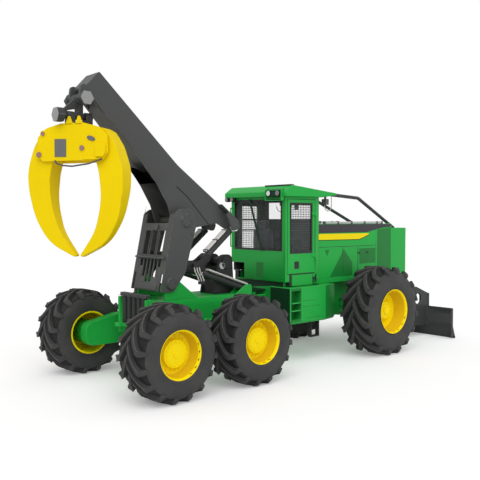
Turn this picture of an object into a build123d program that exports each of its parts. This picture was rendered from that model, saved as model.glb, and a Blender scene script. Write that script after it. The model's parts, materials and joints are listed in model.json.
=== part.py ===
"""Six-wheel articulated grapple skidder with a rear bogie, an arch, a boom and a front blade.

Millimetres. +X points forward, +Y to the machine's left and +Z up. The origin is on the ground, on the
midplane, halfway along the machine. Side outlines are lists of (x, z, corner radius).
"""
from build123d import *
from collections import namedtuple
from math import cos, hypot, radians, sin
import os

os.makedirs("parts", exist_ok=True)

# ---- Fits ---------------------------------------------------------------------------------------
RUN_GAP = 0.3           # running gap at pins, hubs and rods
SIDE_GAP = 6.0          # sideways gap between plates that move past each other
BIG = 6000.0            # longer than any piece, for cuts that go right through

# ---- Stations along the machine -----------------------------------------------------------------
REAR_AXLE_X = -3480.0
BOGIE_SPACING = 1717.0
MID_AXLE_X = REAR_AXLE_X + BOGIE_SPACING
BOGIE_X = REAR_AXLE_X + BOGIE_SPACING / 2
JOINT_X = -550.0        # vertical steering axis
FRONT_AXLE_X = 2047.0

# ---- Wheels -------------------------------------------------------------------------------------
WheelSize = namedtuple(
    "WheelSize",
    "radius section_half shoulder_half tread_half shoulder_drop lug_height"
    " rim_half bed_radius lip_radius disc_out hub_face hub_back hub_radius",
)
FRONT_WHEEL = WheelSize(
    radius=915.0, section_half=385.0, shoulder_half=372.0, tread_half=315.0, shoulder_drop=170.0,
    lug_height=72.0,
    rim_half=373.0, bed_radius=436.0, lip_radius=461.0, disc_out=70.0, hub_face=150.0,
    hub_back=10.0, hub_radius=190.0,
)
REAR_WHEEL = WheelSize(
    radius=760.0, section_half=380.0, shoulder_half=362.0, tread_half=281.0, shoulder_drop=150.0,
    lug_height=64.0,
    rim_half=351.0, bed_radius=368.0, lip_radius=391.0, disc_out=120.0, hub_face=211.0,
    hub_back=60.0, hub_radius=225.0,
)
# a lug cut across: place from the tread's middle (0) to its edge (1), half widths in pitches;
# a quarter pitch at the middle lets the two rows' feet meet corner to corner
LugStation = namedtuple("LugStation", "across tip_half floor_half")
LUG_STATIONS = [
    LugStation(across=0.0, tip_half=0.185, floor_half=0.25),
    LugStation(across=0.45, tip_half=0.173, floor_half=0.234),
    LugStation(across=1.0, tip_half=0.134, floor_half=0.184),
]
LUGS = 16               # in each of a tyre's two rows
LUG_PITCH = 360 / LUGS
LUG_SWEEP = 26.0        # degrees that a lug's inner end runs ahead of its outer end
LUG_CURVE = 1.6         # 1 is a straight sweep
LIP_THICK = 20.0        # rim flange, along the axle
RIM_WALL = 18.0         # rim barrel wall
DISC_THICK = 20.0
FRONT_TRACK_HALF = 1312.0
REAR_TRACK_HALF = 1389.0
SIDES = {"right": -1, "left": 1}

WheelPlace = namedtuple("WheelPlace", "name axle_x track_half size")
WHEELS = [
    WheelPlace("front", FRONT_AXLE_X, FRONT_TRACK_HALF, FRONT_WHEEL),
    WheelPlace("mid", MID_AXLE_X, REAR_TRACK_HALF, REAR_WHEEL),
    WheelPlace("rear", REAR_AXLE_X, REAR_TRACK_HALF, REAR_WHEEL),
]

# ---- Front chassis ------------------------------------------------------------------------------
PLATE = 40.0            # chassis plate
FRONT_HALF = 430.0      # chassis half width
FRONT_BOTTOM = 780.0
FRONT_TOP = 1500.0
FRONT_REAR_X = -230.0
NOSE_X = 3860.0
DECK_TOP = 1600.0       # deck that carries cab and hood
DECK_HALF = 700.0
SADDLE_BOTTOM = 1085.0  # underside of the plate that sits on the front axle
SADDLE_HALF = 260.0
BELLY_THICK = 30.0      # guard plates under the chassis

# ---- Tie-down eyes: in the blade's ears and in ears behind the tail -----------------------------
TIE_RADIUS = 32.0
TIE_EDGE = 50.0         # metal round an eye
TIE_FRONT_Y, TIE_FRONT_Z = 620.0, 900.0
TIE_REAR_Y = 350.0

# ---- Steering joint -----------------------------------------------------------------------------
YOKE_RADIUS = 190.0
YOKE_THICK = 40.0
TONGUE_THICK = 60.0
STEER_PIN = 60.0
TONGUE_LEVELS = (860.0, 1360.0)   # mid heights of the lower and upper tongue

# ---- Cab ----------------------------------------------------------------------------------------
CAB_REAR_X = -280.0
CAB_FRONT_X = 690.0
CAB_HALF = 800.0
CAB_TOP = 3270.0
WALL = 50.0
DOOR_REAR_X = -225.0
DOOR_FRONT_X = 570.0
DOOR_BOTTOM = 1750.0
DOOR_TOP = 3225.0
DOOR_GAP = 6.0
HINGE_OUT = 12.0        # hinge axis beyond the cab's side
HINGE_RADIUS = 14.0
KNUCKLE = 70.0
HINGE_LEVELS = (DOOR_BOTTOM + 250, DOOR_TOP - 390)
GLASS = 8.0
WINDOW_BOTTOM = 2200.0
WINDOW_TOP = 3225.0
REAR_WINDOW_HALF = 705.0
SCREEN_BOTTOM = 2790.0
SCREEN_HALF = 690.0
DOOR_FRAME = 65.0       # leaf's edge round its window
DOOR_WINDOW_BOTTOM = 2150.0
NOTCH_HALF = 400.0      # the cab's rear left corner is cut away below this line
NOTCH_TOP = 1930.0
NOTCH_FRONT_X = -40.0
ROOF_HALF = 900.0
ROOF_REAR_X = -380.0
ROOF_FRONT_X = 1130.0
ROOF_EDGE = 95.0        # upright face of the roof's rear edge
RIDGE_X, RIDGE_Z = -185.0, 3495.0
ROOF_TIP = (3322.0, 3362.0)       # lower and upper edge of the roof's front

# ---- Hood ---------------------------------------------------------------------------------------
HOOD_HALF = 700.0
HOOD_TOP = 2730.0
HOOD_FRONT_X = 3300.0
HOOD_WALL = 30.0
GUARD_TOP = 2630.0
GUARD_BARS = 9
ENGINE_HALF = 350.0
ENGINE_X = (1000.0, 2500.0)
ENGINE_TOP = 2400.0

# ---- Side boxes under the doors -----------------------------------------------------------------
BOX_REAR_X = -330.0
BOX_FRONT_X = 1070.0
BOX_HALF = 980.0
BOX_BOTTOM = 790.0
STEP_DEPTH = 160.0
BOX_BEND_X = 700.0      # ahead of this the side turns inwards
BOX_BEND_HALF = 895.0   # half width at the front end
BOX_CHAMFER = 45.0
STEP_X = (-290.0, -30.0)
STEP_LEVELS = ((880.0, 1040.0), (1065.0, 1190.0), (1215.0, 1440.0))

# ---- Blade --------------------------------------------------------------------------------------
BLADE_PIVOT_X = 3270.0
BLADE_PIVOT_Z = 850.0
BLADE_PIN = 55.0
ARM_IN = 720.0
ARM_THICK = 60.0
BLADE_HALF = 1450.0
BLADE_HEIGHT = 720.0
BLADE_EAR_IN = 535.0    # ears above the blade's top edge, in front of the arms
BLADE_EAR_OUT = 800.0
BLADE_EAR_HEIGHT = 1030.0
BLADE_X = 4840.0        # cutting edge
BLADE_DEPTH = 140.0     # depth of the curved front behind the cutting edge
BLADE_LEAN = 110.0      # how far the top edge stands behind the cutting edge
BLADE_THICK = 45.0
END_THICK = 30.0
ARM_REACH = 120.0       # round end of an arm, round its pivot
ARM_RISE = 370.0        # top of an arm's bow above its pivot
ARM_DROP = 550.0        # lowest edge of an arm below its pivot
ARM_HOLE = 130.0
ARM_HOLE_X, ARM_HOLE_Z = 4290.0, 920.0

# ---- Rear chassis -------------------------------------------------------------------------------
REAR_HALF = 450.0
REAR_BOTTOM = 820.0
REAR_TOP = 1420.0
REAR_BOX_X = (-3130.0, -1080.0)
REAR_PLATE = 35.0
CASE_IN = 780.0         # bogie case, inner and outer face
CASE_OUT = 985.0
CASE_RADIUS = 200.0     # half height at the axles
CASE_TOP = 1100.0
HUB_RADIUS = 220.0
TRUNNION_RADIUS = 210.0
TRUNNION_Z = 960.0

# ---- Arch ---------------------------------------------------------------------------------------
ARCH_X, ARCH_Z = -2760.0, 1720.0      # lower pivot
ARCH_HALF = 480.0
ARCH_PLATE = 40.0
ARCH_PIN = 60.0
ARCH_BOSS = 105.0
PANEL = 30.0
BRACKET_THICK = 40.0
BRACKET_FOOT = 620.0    # foot of a bracket, ahead of the pivot
BOOM_X, BOOM_Z = -2420.0, 2800.0      # boom pivot
BOOM_PIN = 75.0
BOOM_CAP = 120.0

# ---- Boom ---------------------------------------------------------------------------------------
BOOM_HALF = 290.0
BOOM_PLATE = 35.0
TIP_HALF = 200.0
LUG_THICK = 28.0
LUG_X, LUG_Z = -1240.0, 2690.0        # boom cylinder's rod eye
RAM_Y = 362.0           # cylinders' distance off the midplane
RAM_PIN = 40.0
EYE_RADIUS = 85.0
HEAD_THICK = 14.0       # head of a cylinder's pin
EYE_STEP = 4.0          # an eye is this much wider than its barrel, on each side

# ---- Cylinders ----------------------------------------------------------------------------------
Ram = namedtuple(
    "Ram", "name base_x base_z eye_x eye_z side_y eye_half rod_radius barrel_end rod_length"
)
ARCH_RAM = Ram("arch", -930.0, 1500.0, -2120.0, 1900.0, RAM_Y, 66.0, 42.0, 130.0, 940.0)
BOOM_RAM = Ram("boom", -1930.0, 2130.0, LUG_X, LUG_Z, RAM_Y, 66.0, 38.0, 110.0, 750.0)
BLADE_RAM = Ram("blade", 3975.0, 1560.0, 4080.0, 560.0, 300.0, 55.0, 32.0, 450.0, 505.0)

# ---- Crosshead, rotator and grapple -------------------------------------------------------------
SWING_X, SWING_Z = -4240.0, 4765.0    # fore and aft swing, a pin along Y
SIDE_Z = 4490.0                       # sideways swing, a pin along X
CROSS_PIN = 45.0
CAP_RADIUS = 125.0      # hexagonal damper caps, across the corners
SWING_CAP_Y = 285.0
SIDE_CAP_X = 420.0
TURN_Z = 4360.0         # top of the grapple head, where the rotator ends
ROTATOR_RADIUS = 150.0
GRAPPLE_YAW = -58.0
HEAD_DEPTH = 200.0      # inner face of the head's plates, off the tongs' plane
HEAD_PLATE = 30.0
TONG_U, TONG_Z = 500.0, 3930.0        # tong pivot, across the grapple and up
TONG_PIN = 50.0
TONG_DEPTH = 165.0      # half depth of a tong


def side(y):
    """The XZ plane at a distance off the midplane, facing the machine's right."""
    return Plane.XZ.offset(-y)


GRAPPLE_PLANE = Plane(
    origin=(SWING_X, 0, 0),
    x_dir=(cos(radians(GRAPPLE_YAW)), sin(radians(GRAPPLE_YAW)), 0),
    z_dir=(sin(radians(GRAPPLE_YAW)), -cos(radians(GRAPPLE_YAW)), 0),
)


def across(v):
    """The tongs' plane at a distance off the grapple's middle."""
    return GRAPPLE_PLANE.offset(-v)


def plate(outline, low, high, plane=side, mode=Mode.ADD):
    """A plate with a side outline, between two distances off the middle."""
    with BuildSketch(plane(high)) as face:
        with BuildLine():
            FilletPolyline(
                *[(x, z) for x, z, r in outline], radius=[r for x, z, r in outline], close=True
            )
        make_face()
    extrude(face.sketch, amount=high - low, mode=mode)


def bar(x, z, radius, low, high, plane=side, mode=Mode.ADD):
    """A round bar or hole that runs across, between two distances off the middle."""
    with BuildSketch(plane(high)) as disc:
        with Locations((x, z)):
            Circle(radius)
    extrude(disc.sketch, amount=high - low, mode=mode)


def block(x, y, z, mode=Mode.ADD):
    """A block between its low and high limits along each axis."""
    with BuildSketch(Plane.XY.offset(z[0])) as base:
        with Locations(((x[0] + x[1]) / 2, (y[0] + y[1]) / 2)):
            Rectangle(x[1] - x[0], y[1] - y[0])
    extrude(base.sketch, amount=z[1] - z[0], mode=mode)


def rod_along(start, end, radius, mode=Mode.ADD):
    """A round bar between two points in space."""
    axis = Vector(*end) - Vector(*start)
    with BuildSketch(Plane(origin=start, z_dir=axis)) as disc:
        Circle(radius)
    extrude(disc.sketch, amount=axis.length, mode=mode)


def keep(piece, name):
    """Label a finished piece and write its file."""
    piece.part.label = name
    export_step(piece.part, f"parts/{name}.step")


def both_sides(low, high):
    """The same stretch off the midplane, on the right and on the left."""
    return [(-high, -low), (low, high)]


def lug_levels(ram):
    """The faces of a cylinder pair's inner and outer lugs that look at its eyes, off the midplane."""
    reach = ram.eye_half + SIDE_GAP
    return ram.side_y - reach, ram.side_y + reach


def ram_lugs(ram, outline, last=None):
    """A lug plate on each side of both eyes of a cylinder pair; last is the outer lugs' far face."""
    inner, outer = lug_levels(ram)
    far = outer + LUG_THICK if last is None else last
    for low, high in both_sides(inner - LUG_THICK, inner) + both_sides(outer, far):
        plate(outline, low, high)


def base_pins(ram, last=None):
    """The pins through a cylinder pair's base eyes, from the inner lugs to the outer ones."""
    inner, outer = lug_levels(ram)
    far = outer + LUG_THICK if last is None else last
    for low, high in both_sides(inner - LUG_THICK, far):
        bar(ram.base_x, ram.base_z, RAM_PIN, low, high)


def pin_heads(ram):
    """Both heads of each rod pin, outside the lugs, clear of the gap that the rod's eye moves in."""
    inner, outer = lug_levels(ram)
    near, far = inner - LUG_THICK, outer + LUG_THICK
    for low, high in both_sides(near - HEAD_THICK, near) + both_sides(far, far + HEAD_THICK):
        bar(ram.eye_x, ram.eye_z, RAM_PIN, low, high)


# ==== Wheels =====================================================================================
def tyre_ring(place, middle, y, radius, angles):
    """Points round an axle, y off the tyre's middle; angles are in degrees from straight up."""
    return [
        Vector(
            place.axle_x + radius * sin(radians(angle)),
            middle + y,
            place.size.radius + radius * cos(radians(angle)),
        )
        for angle in angles
    ]


def lug_ring(place, middle, side_sign, station, start):
    """One side's lugs cut across at a station: floor, tip, tip and floor of each lug in turn."""
    size = place.size
    lag = LUG_SWEEP * (1 - station.across) ** LUG_CURVE
    offsets = [-station.floor_half, -station.tip_half, station.tip_half, station.floor_half]
    angles = [start + lag + LUG_PITCH * (lug + offset) for lug in range(LUGS) for offset in offsets]
    y = side_sign * station.across * size.tread_half
    tips = tyre_ring(place, middle, y, size.radius, angles)
    floors = tyre_ring(place, middle, y, size.radius - size.lug_height, angles)
    return [tips[i] if i % 4 in (1, 2) else floors[i] for i in range(len(angles))]


def flat(*points):
    """A flat face with straight sides."""
    return Face(Wire.make_polygon(points, close=True))


def tyre_half(place, side_sign, half_sign, start):
    """One side of a tyre from its middle plane out, with straight-sided lugs that fade into the wall."""
    size = place.size
    middle = side_sign * place.track_half
    rings = [lug_ring(place, middle, half_sign, station, start) for station in LUG_STATIONS]
    round_up = 1 / cos(radians(LUG_PITCH / 2))
    spokes = [LUG_PITCH * lug for lug in range(LUGS)]
    bead = half_sign * (size.rim_half - LIP_THICK)
    foot_radius = size.radius - size.shoulder_drop
    foot_angles = [start + LUG_PITCH * lug for lug in range(LUGS)]
    foot = tyre_ring(place, middle, half_sign * size.shoulder_half, foot_radius, foot_angles)
    widest, lip, bed, hole = [
        tyre_ring(place, middle, y, radius, spokes)
        for y, radius in [
            (half_sign * size.section_half, (size.lip_radius + size.radius) / 2),
            (bead, size.lip_radius * round_up),
            (bead, size.bed_radius * round_up),
            (0, size.bed_radius * round_up),
        ]
    ]
    faces = []
    first_spoke = round(start / LUG_PITCH)
    widest_by_foot = widest[first_spoke:] + widest[:first_spoke]
    for inner, outer in [*zip(rings, rings[1:]), (foot, widest_by_foot)]:
        for i in range(len(inner)):
            faces.append(flat(inner[i - 1], inner[i], outer[i]))
            faces.append(flat(inner[i - 1], outer[i], outer[i - 1]))
    last = rings[-1]
    for lug in range(LUGS):
        corners = last[4 * lug:4 * lug + 4]
        faces += [flat(a, b, foot[lug]) for a, b in zip(corners, corners[1:])]
        faces.append(flat(last[4 * lug - 1], corners[0], foot[lug]))
        faces.append(flat(last[4 * lug - 1], foot[lug], foot[lug - 1]))
    for outer, inner in [(widest, lip), (bed, hole)]:
        faces += [flat(outer[i - 1], outer[i], inner[i], inner[i - 1]) for i in range(LUGS)]
    for outer, inner in [(lip, bed), (rings[0], hole)]:
        faces.append(Face(Wire.make_polygon(outer, close=True), [Wire.make_polygon(inner, close=True)]))
    return Solid(Shell(faces))


def tyre(place, side_sign):
    """A tyre with straight-sided lugs in two staggered rows, seated on the rim's bed."""
    start = 180 - LUG_PITCH * LUG_STATIONS[-1].tip_half     # a lug's corner stands on the ground
    with BuildPart() as body:
        add(tyre_half(place, side_sign, 1, start))
        add(tyre_half(place, side_sign, -1, start + LUG_PITCH / 2))
    return body


def rim(place, side_sign):
    """A rim: barrel with two lips, dished disc and hub drum."""
    size = place.size
    middle = side_sign * place.track_half
    barrel = size.bed_radius - RIM_WALL
    disc_in = size.disc_out - DISC_THICK
    section = [
        (-size.rim_half, size.lip_radius),
        (LIP_THICK - size.rim_half, size.lip_radius),
        (LIP_THICK - size.rim_half, size.bed_radius),
        (size.rim_half - LIP_THICK, size.bed_radius),
        (size.rim_half - LIP_THICK, size.lip_radius),
        (size.rim_half, size.lip_radius),
        (size.rim_half, barrel),
        (size.disc_out, barrel),
        (size.disc_out, size.hub_radius),
        (size.hub_face, size.hub_radius),
        (size.hub_face, 0),
        (size.hub_back, 0),
        (size.hub_back, size.hub_radius),
        (disc_in, size.hub_radius),
        (disc_in, barrel),
        (-size.rim_half, barrel),
    ]
    with BuildPart() as body:
        with BuildSketch(Plane.YZ.offset(place.axle_x)):
            with BuildLine():
                Polyline(
                    *[(middle + side_sign * y, size.radius + r) for y, r in section], close=True
                )
            make_face()
        revolve(axis=Axis((place.axle_x, 0, size.radius), (0, 1, 0)))
    return body


for place in WHEELS:
    for word, sign in SIDES.items():
        keep(tyre(place, sign), f"tyre_{place.name}_{word}")
        keep(rim(place, sign), f"rim_{place.name}_{word}")

# ==== Front chassis ==============================================================================
saddle_x = (FRONT_AXLE_X - SADDLE_HALF, FRONT_AXLE_X + SADDLE_HALF)
with BuildPart() as front_chassis:
    block((FRONT_REAR_X, NOSE_X), (-FRONT_HALF, FRONT_HALF), (FRONT_BOTTOM, FRONT_TOP))
    block(
        (FRONT_REAR_X + PLATE, NOSE_X - PLATE),
        (PLATE - FRONT_HALF, FRONT_HALF - PLATE),
        (FRONT_BOTTOM + PLATE, BIG),
        mode=Mode.SUBTRACT,
    )
    # the front axle passes under a saddle plate
    block(saddle_x, (-FRONT_HALF, FRONT_HALF), (SADDLE_BOTTOM, SADDLE_BOTTOM + PLATE))
    block(saddle_x, (-BIG, BIG), (0, SADDLE_BOTTOM), mode=Mode.SUBTRACT)
    for saddle_end in (saddle_x[0] - PLATE, saddle_x[1]):
        block(
            (saddle_end, saddle_end + PLATE),
            (-FRONT_HALF, FRONT_HALF),
            (FRONT_BOTTOM, SADDLE_BOTTOM + PLATE),
        )
    for low, high in ((FRONT_REAR_X, saddle_x[0] - PLATE), (saddle_x[1] + PLATE, NOSE_X)):
        block((low, high), (-FRONT_HALF, FRONT_HALF), (FRONT_BOTTOM - BELLY_THICK, FRONT_BOTTOM))
    # deck under the cab and the hood, open over the engine
    block((FRONT_REAR_X, NOSE_X), (-DECK_HALF, DECK_HALF), (FRONT_TOP, DECK_TOP))
    block(ENGINE_X, (-ENGINE_HALF, ENGINE_HALF), (FRONT_TOP, DECK_TOP), mode=Mode.SUBTRACT)
    # yoke plates above and below each steering tongue, with their pins
    for level in TONGUE_LEVELS:
        above = level + TONGUE_THICK / 2 + SIDE_GAP
        below = level - TONGUE_THICK / 2 - SIDE_GAP - YOKE_THICK
        for low in (above, below):
            block((JOINT_X, FRONT_REAR_X + PLATE), (-YOKE_RADIUS, YOKE_RADIUS), (low, low + YOKE_THICK))
            with BuildSketch(Plane.XY.offset(low)) as yoke_end:
                with Locations((JOINT_X, 0)):
                    Circle(YOKE_RADIUS)
            extrude(yoke_end.sketch, amount=YOKE_THICK)
        rod_along((JOINT_X, 0, below), (JOINT_X, 0, above + YOKE_THICK), STEER_PIN)
    # blade pivot pins
    for low, high in both_sides(FRONT_HALF - PLATE, ARM_IN + ARM_THICK + PLATE / 2):
        bar(BLADE_PIVOT_X, BLADE_PIVOT_Z, BLADE_PIN, low, high)
    # lugs for the blade's lift cylinders
    ram_lugs(
        BLADE_RAM,
        [
            (NOSE_X, BLADE_RAM.base_z - 180, 0),
            (NOSE_X, BLADE_RAM.base_z + EYE_RADIUS / 2, 0),
            (BLADE_RAM.base_x - 30, BLADE_RAM.base_z + EYE_RADIUS, 60),
            (BLADE_RAM.base_x + EYE_RADIUS, BLADE_RAM.base_z + EYE_RADIUS, 60),
            (BLADE_RAM.base_x + EYE_RADIUS, BLADE_RAM.base_z - EYE_RADIUS, 60),
        ],
    )
    base_pins(BLADE_RAM)
keep(front_chassis, "front_chassis")

# ==== Front axle and engine =========================================================
AXLE_RADIUS = 145.0
AXLE_HUB_RADIUS = 240.0
DIFF_RADIUS = 230.0
DIFF_HALF = 200.0
AXLE_PAD_HALF = 160.0
with BuildPart() as front_axle:
    axle_z = FRONT_WHEEL.radius
    hub_end = FRONT_TRACK_HALF + FRONT_WHEEL.hub_back - RUN_GAP
    hub_start = FRONT_TRACK_HALF - FRONT_WHEEL.rim_half - 60
    bar(FRONT_AXLE_X, axle_z, AXLE_RADIUS, -hub_end, hub_end)
    for low, high in both_sides(hub_start, hub_end):
        bar(FRONT_AXLE_X, axle_z, AXLE_HUB_RADIUS, low, high)
    with BuildSketch(side(DIFF_HALF)) as differential:
        with Locations((FRONT_AXLE_X, axle_z)):
            Circle(DIFF_RADIUS)
    extrude(differential.sketch, amount=2 * DIFF_HALF)
    # pad bolted up to the saddle plate
    block(
        (FRONT_AXLE_X - AXLE_PAD_HALF, FRONT_AXLE_X + AXLE_PAD_HALF),
        (-FRONT_HALF, FRONT_HALF),
        (axle_z, SADDLE_BOTTOM),
    )
    block(
        (FRONT_AXLE_X - SADDLE_HALF, FRONT_AXLE_X + SADDLE_HALF),
        (-FRONT_HALF, FRONT_HALF),
        (SADDLE_BOTTOM, BIG),
        mode=Mode.SUBTRACT,
    )
keep(front_axle, "front_axle")

with BuildPart() as engine_block:
    block(ENGINE_X, (RUN_GAP - ENGINE_HALF, ENGINE_HALF - RUN_GAP), (SADDLE_BOTTOM + PLATE, ENGINE_TOP))
keep(engine_block, "engine_block")

# ==== Side boxes and steps =======================================================================
with BuildPart() as side_boxes:
    for sign in SIDES.values():
        with BuildSketch(Plane.XY.offset(BOX_BOTTOM)) as plan:
            with BuildLine():
                Polyline(
                    (BOX_REAR_X, sign * FRONT_HALF),
                    (BOX_REAR_X, sign * BOX_HALF),
                    (BOX_BEND_X, sign * BOX_HALF),
                    (BOX_FRONT_X, sign * BOX_BEND_HALF),
                    (BOX_FRONT_X, sign * FRONT_HALF),
                    close=True,
                )
            make_face()
        extrude(plan.sketch, amount=FRONT_TOP - BOX_BOTTOM)
    outer = [
        edge
        for edge in side_boxes.edges().group_by(Axis.Z)[0]
        if abs(edge.center().Y) > BOX_BEND_HALF
    ]
    chamfer(outer, BOX_CHAMFER)
    # steps let into the boxes' rear ends
    for low, high in both_sides(BOX_HALF - STEP_DEPTH, BIG):
        for level in STEP_LEVELS:
            block(STEP_X, (low, high), level, mode=Mode.SUBTRACT)
keep(side_boxes, "side_boxes")

STEP_BAR = 14.0
STEP_LOOP_X = (380.0, 600.0)
STEP_LOOP_Z = 470.0
with BuildPart() as steps:
    for low, high in both_sides(BOX_HALF - 190, BOX_HALF - 90):
        for strap_x in STEP_LOOP_X:
            block((strap_x - STEP_BAR, strap_x + STEP_BAR), (low, high), (STEP_LOOP_Z, BOX_BOTTOM))
        block(
            (STEP_LOOP_X[0] - STEP_BAR, STEP_LOOP_X[1] + STEP_BAR),
            (low, high),
            (STEP_LOOP_Z, STEP_LOOP_Z + 2 * STEP_BAR),
        )
keep(steps, "steps")

# ==== Cab ========================================================================================
door_x = (DOOR_REAR_X, DOOR_FRONT_X)
with BuildPart() as cab_shell:
    block((CAB_REAR_X, CAB_FRONT_X), (-CAB_HALF, CAB_HALF), (DECK_TOP, CAB_TOP))
    block(
        (CAB_REAR_X + WALL, CAB_FRONT_X - WALL),
        (WALL - CAB_HALF, CAB_HALF - WALL),
        (NOTCH_TOP + WALL, BIG),
        mode=Mode.SUBTRACT,
    )
    block(
        (CAB_REAR_X + WALL, CAB_FRONT_X - WALL),
        (WALL - CAB_HALF, NOTCH_HALF - WALL),
        (DECK_TOP + WALL, NOTCH_TOP + WALL),
        mode=Mode.SUBTRACT,
    )
    block(
        (NOTCH_FRONT_X + WALL, CAB_FRONT_X - WALL),
        (NOTCH_HALF - WALL, CAB_HALF - WALL),
        (DECK_TOP + WALL, NOTCH_TOP + WALL),
        mode=Mode.SUBTRACT,
    )
    block((-BIG, NOTCH_FRONT_X), (NOTCH_HALF, BIG), (DECK_TOP, NOTCH_TOP), mode=Mode.SUBTRACT)
    block(
        (-BIG, CAB_REAR_X + WALL),
        (-REAR_WINDOW_HALF, REAR_WINDOW_HALF),
        (WINDOW_BOTTOM, WINDOW_TOP),
        mode=Mode.SUBTRACT,
    )
    block(
        (CAB_FRONT_X - WALL, BIG),
        (-SCREEN_HALF, SCREEN_HALF),
        (SCREEN_BOTTOM, WINDOW_TOP),
        mode=Mode.SUBTRACT,
    )
    for low, high in both_sides(CAB_HALF - WALL, BIG):
        block(door_x, (low, high), (DOOR_BOTTOM, DOOR_TOP), mode=Mode.SUBTRACT)
    # front closing strip of the notch's side stays under the left door's sill
    block(
        (NOTCH_FRONT_X, NOTCH_FRONT_X + WALL),
        (CAB_HALF - WALL, CAB_HALF),
        (DECK_TOP, DOOR_BOTTOM),
    )
    # hinge knuckles ahead of each door
    for sign in SIDES.values():
        for level in HINGE_LEVELS:
            rod_along(
                (DOOR_FRONT_X + HINGE_OUT, sign * (CAB_HALF + HINGE_OUT), level),
                (DOOR_FRONT_X + HINGE_OUT, sign * (CAB_HALF + HINGE_OUT), level + KNUCKLE),
                HINGE_RADIUS,
            )
keep(cab_shell, "cab_shell")

with BuildPart() as cab_glass:
    block(
        (CAB_REAR_X + (WALL - GLASS) / 2, CAB_REAR_X + (WALL + GLASS) / 2),
        (-REAR_WINDOW_HALF, REAR_WINDOW_HALF),
        (WINDOW_BOTTOM, WINDOW_TOP),
    )
    block(
        (CAB_FRONT_X - (WALL + GLASS) / 2, CAB_FRONT_X - (WALL - GLASS) / 2),
        (-SCREEN_HALF, SCREEN_HALF),
        (SCREEN_BOTTOM, WINDOW_TOP),
    )
keep(cab_glass, "cab_glass")

with BuildPart() as cab_roof:
    plate(
        [
            (ROOF_REAR_X, CAB_TOP, 0),
            (ROOF_REAR_X, CAB_TOP + ROOF_EDGE, 30),
            (RIDGE_X, RIDGE_Z, 60),
            (ROOF_FRONT_X, ROOF_TIP[1], 0),
            (ROOF_FRONT_X, ROOF_TIP[0], 0),
            (CAB_FRONT_X, CAB_TOP, 0),
        ],
        -ROOF_HALF,
        ROOF_HALF,
    )
keep(cab_roof, "cab_roof")

for word, sign in SIDES.items():
    leaf_y = sorted((sign * (CAB_HALF - WALL), sign * CAB_HALF))
    leaf_x = (DOOR_REAR_X + DOOR_GAP, DOOR_FRONT_X - DOOR_GAP)
    leaf_z = (DOOR_BOTTOM + DOOR_GAP, DOOR_TOP - DOOR_GAP)
    pane_x = (leaf_x[0] + DOOR_FRAME, leaf_x[1] - DOOR_FRAME)
    pane_z = (DOOR_WINDOW_BOTTOM, leaf_z[1] - DOOR_FRAME)
    with BuildPart() as door:
        block(leaf_x, leaf_y, leaf_z)
        block(pane_x, (-BIG, BIG), pane_z, mode=Mode.SUBTRACT)
        # straps that reach the knuckles standing on the cab's hinge pins
        for level in HINGE_LEVELS:
            strap_z = (level + KNUCKLE + RUN_GAP, level + 2 * KNUCKLE)
            block(
                (leaf_x[1] - 90, leaf_x[1]),
                tuple(sorted((sign * (CAB_HALF - 5), sign * (CAB_HALF + HINGE_OUT + 8)))),
                strap_z,
            )
            block(
                (leaf_x[1], DOOR_FRONT_X + HINGE_OUT),
                tuple(sorted((sign * (CAB_HALF + 3), sign * (CAB_HALF + HINGE_OUT + 8)))),
                strap_z,
            )
            rod_along(
                (DOOR_FRONT_X + HINGE_OUT, sign * (CAB_HALF + HINGE_OUT), strap_z[0]),
                (DOOR_FRONT_X + HINGE_OUT, sign * (CAB_HALF + HINGE_OUT), strap_z[1]),
                HINGE_OUT - 3,
            )
    keep(door, f"door_{word}")
    pane_y = sign * (CAB_HALF - WALL / 2)
    with BuildPart() as door_glass:
        block(pane_x, (pane_y - GLASS / 2, pane_y + GLASS / 2), pane_z)
    keep(door_glass, f"door_glass_{word}")

SEAT_X = 120.0
SEAT_HALF = 260.0
SEAT_LEVEL, SEAT_TOP = 1980.0, 2110.0     # under and over the cushion
BACK_LEVELS = (2000.0, 2780.0)
ARMREST_WIDTH = 110.0
ARMREST_LEVELS = (2040.0, 2250.0)
with BuildPart() as seat:
    block((SEAT_X - 180, SEAT_X + 180), (-190, 190), (DECK_TOP + WALL, SEAT_LEVEL))
    block((SEAT_X - 240, SEAT_X + 280), (-SEAT_HALF, SEAT_HALF), (SEAT_LEVEL, SEAT_TOP))
    block((SEAT_X - 300, SEAT_X - 170), (-SEAT_HALF, SEAT_HALF), BACK_LEVELS)
    for low, high in both_sides(SEAT_HALF, SEAT_HALF + ARMREST_WIDTH):
        block((SEAT_X - 200, SEAT_X + 330), (low, high), ARMREST_LEVELS)
keep(seat, "seat")

# ==== Hood and guards ============================================================================
with BuildPart() as hood:
    block((CAB_FRONT_X, HOOD_FRONT_X), (-HOOD_HALF, HOOD_HALF), (DECK_TOP, HOOD_TOP))
    block(
        (CAB_FRONT_X + HOOD_WALL, HOOD_FRONT_X - HOOD_WALL),
        (HOOD_WALL - HOOD_HALF, HOOD_HALF - HOOD_WALL),
        (0, HOOD_TOP - HOOD_WALL),
        mode=Mode.SUBTRACT,
    )
    long_top = hood.edges().filter_by(Axis.X).group_by(Axis.Z)[-1].group_by(Axis.Y)
    chamfer(long_top[0] + long_top[-1], 40)
keep(hood, "hood")

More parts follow.
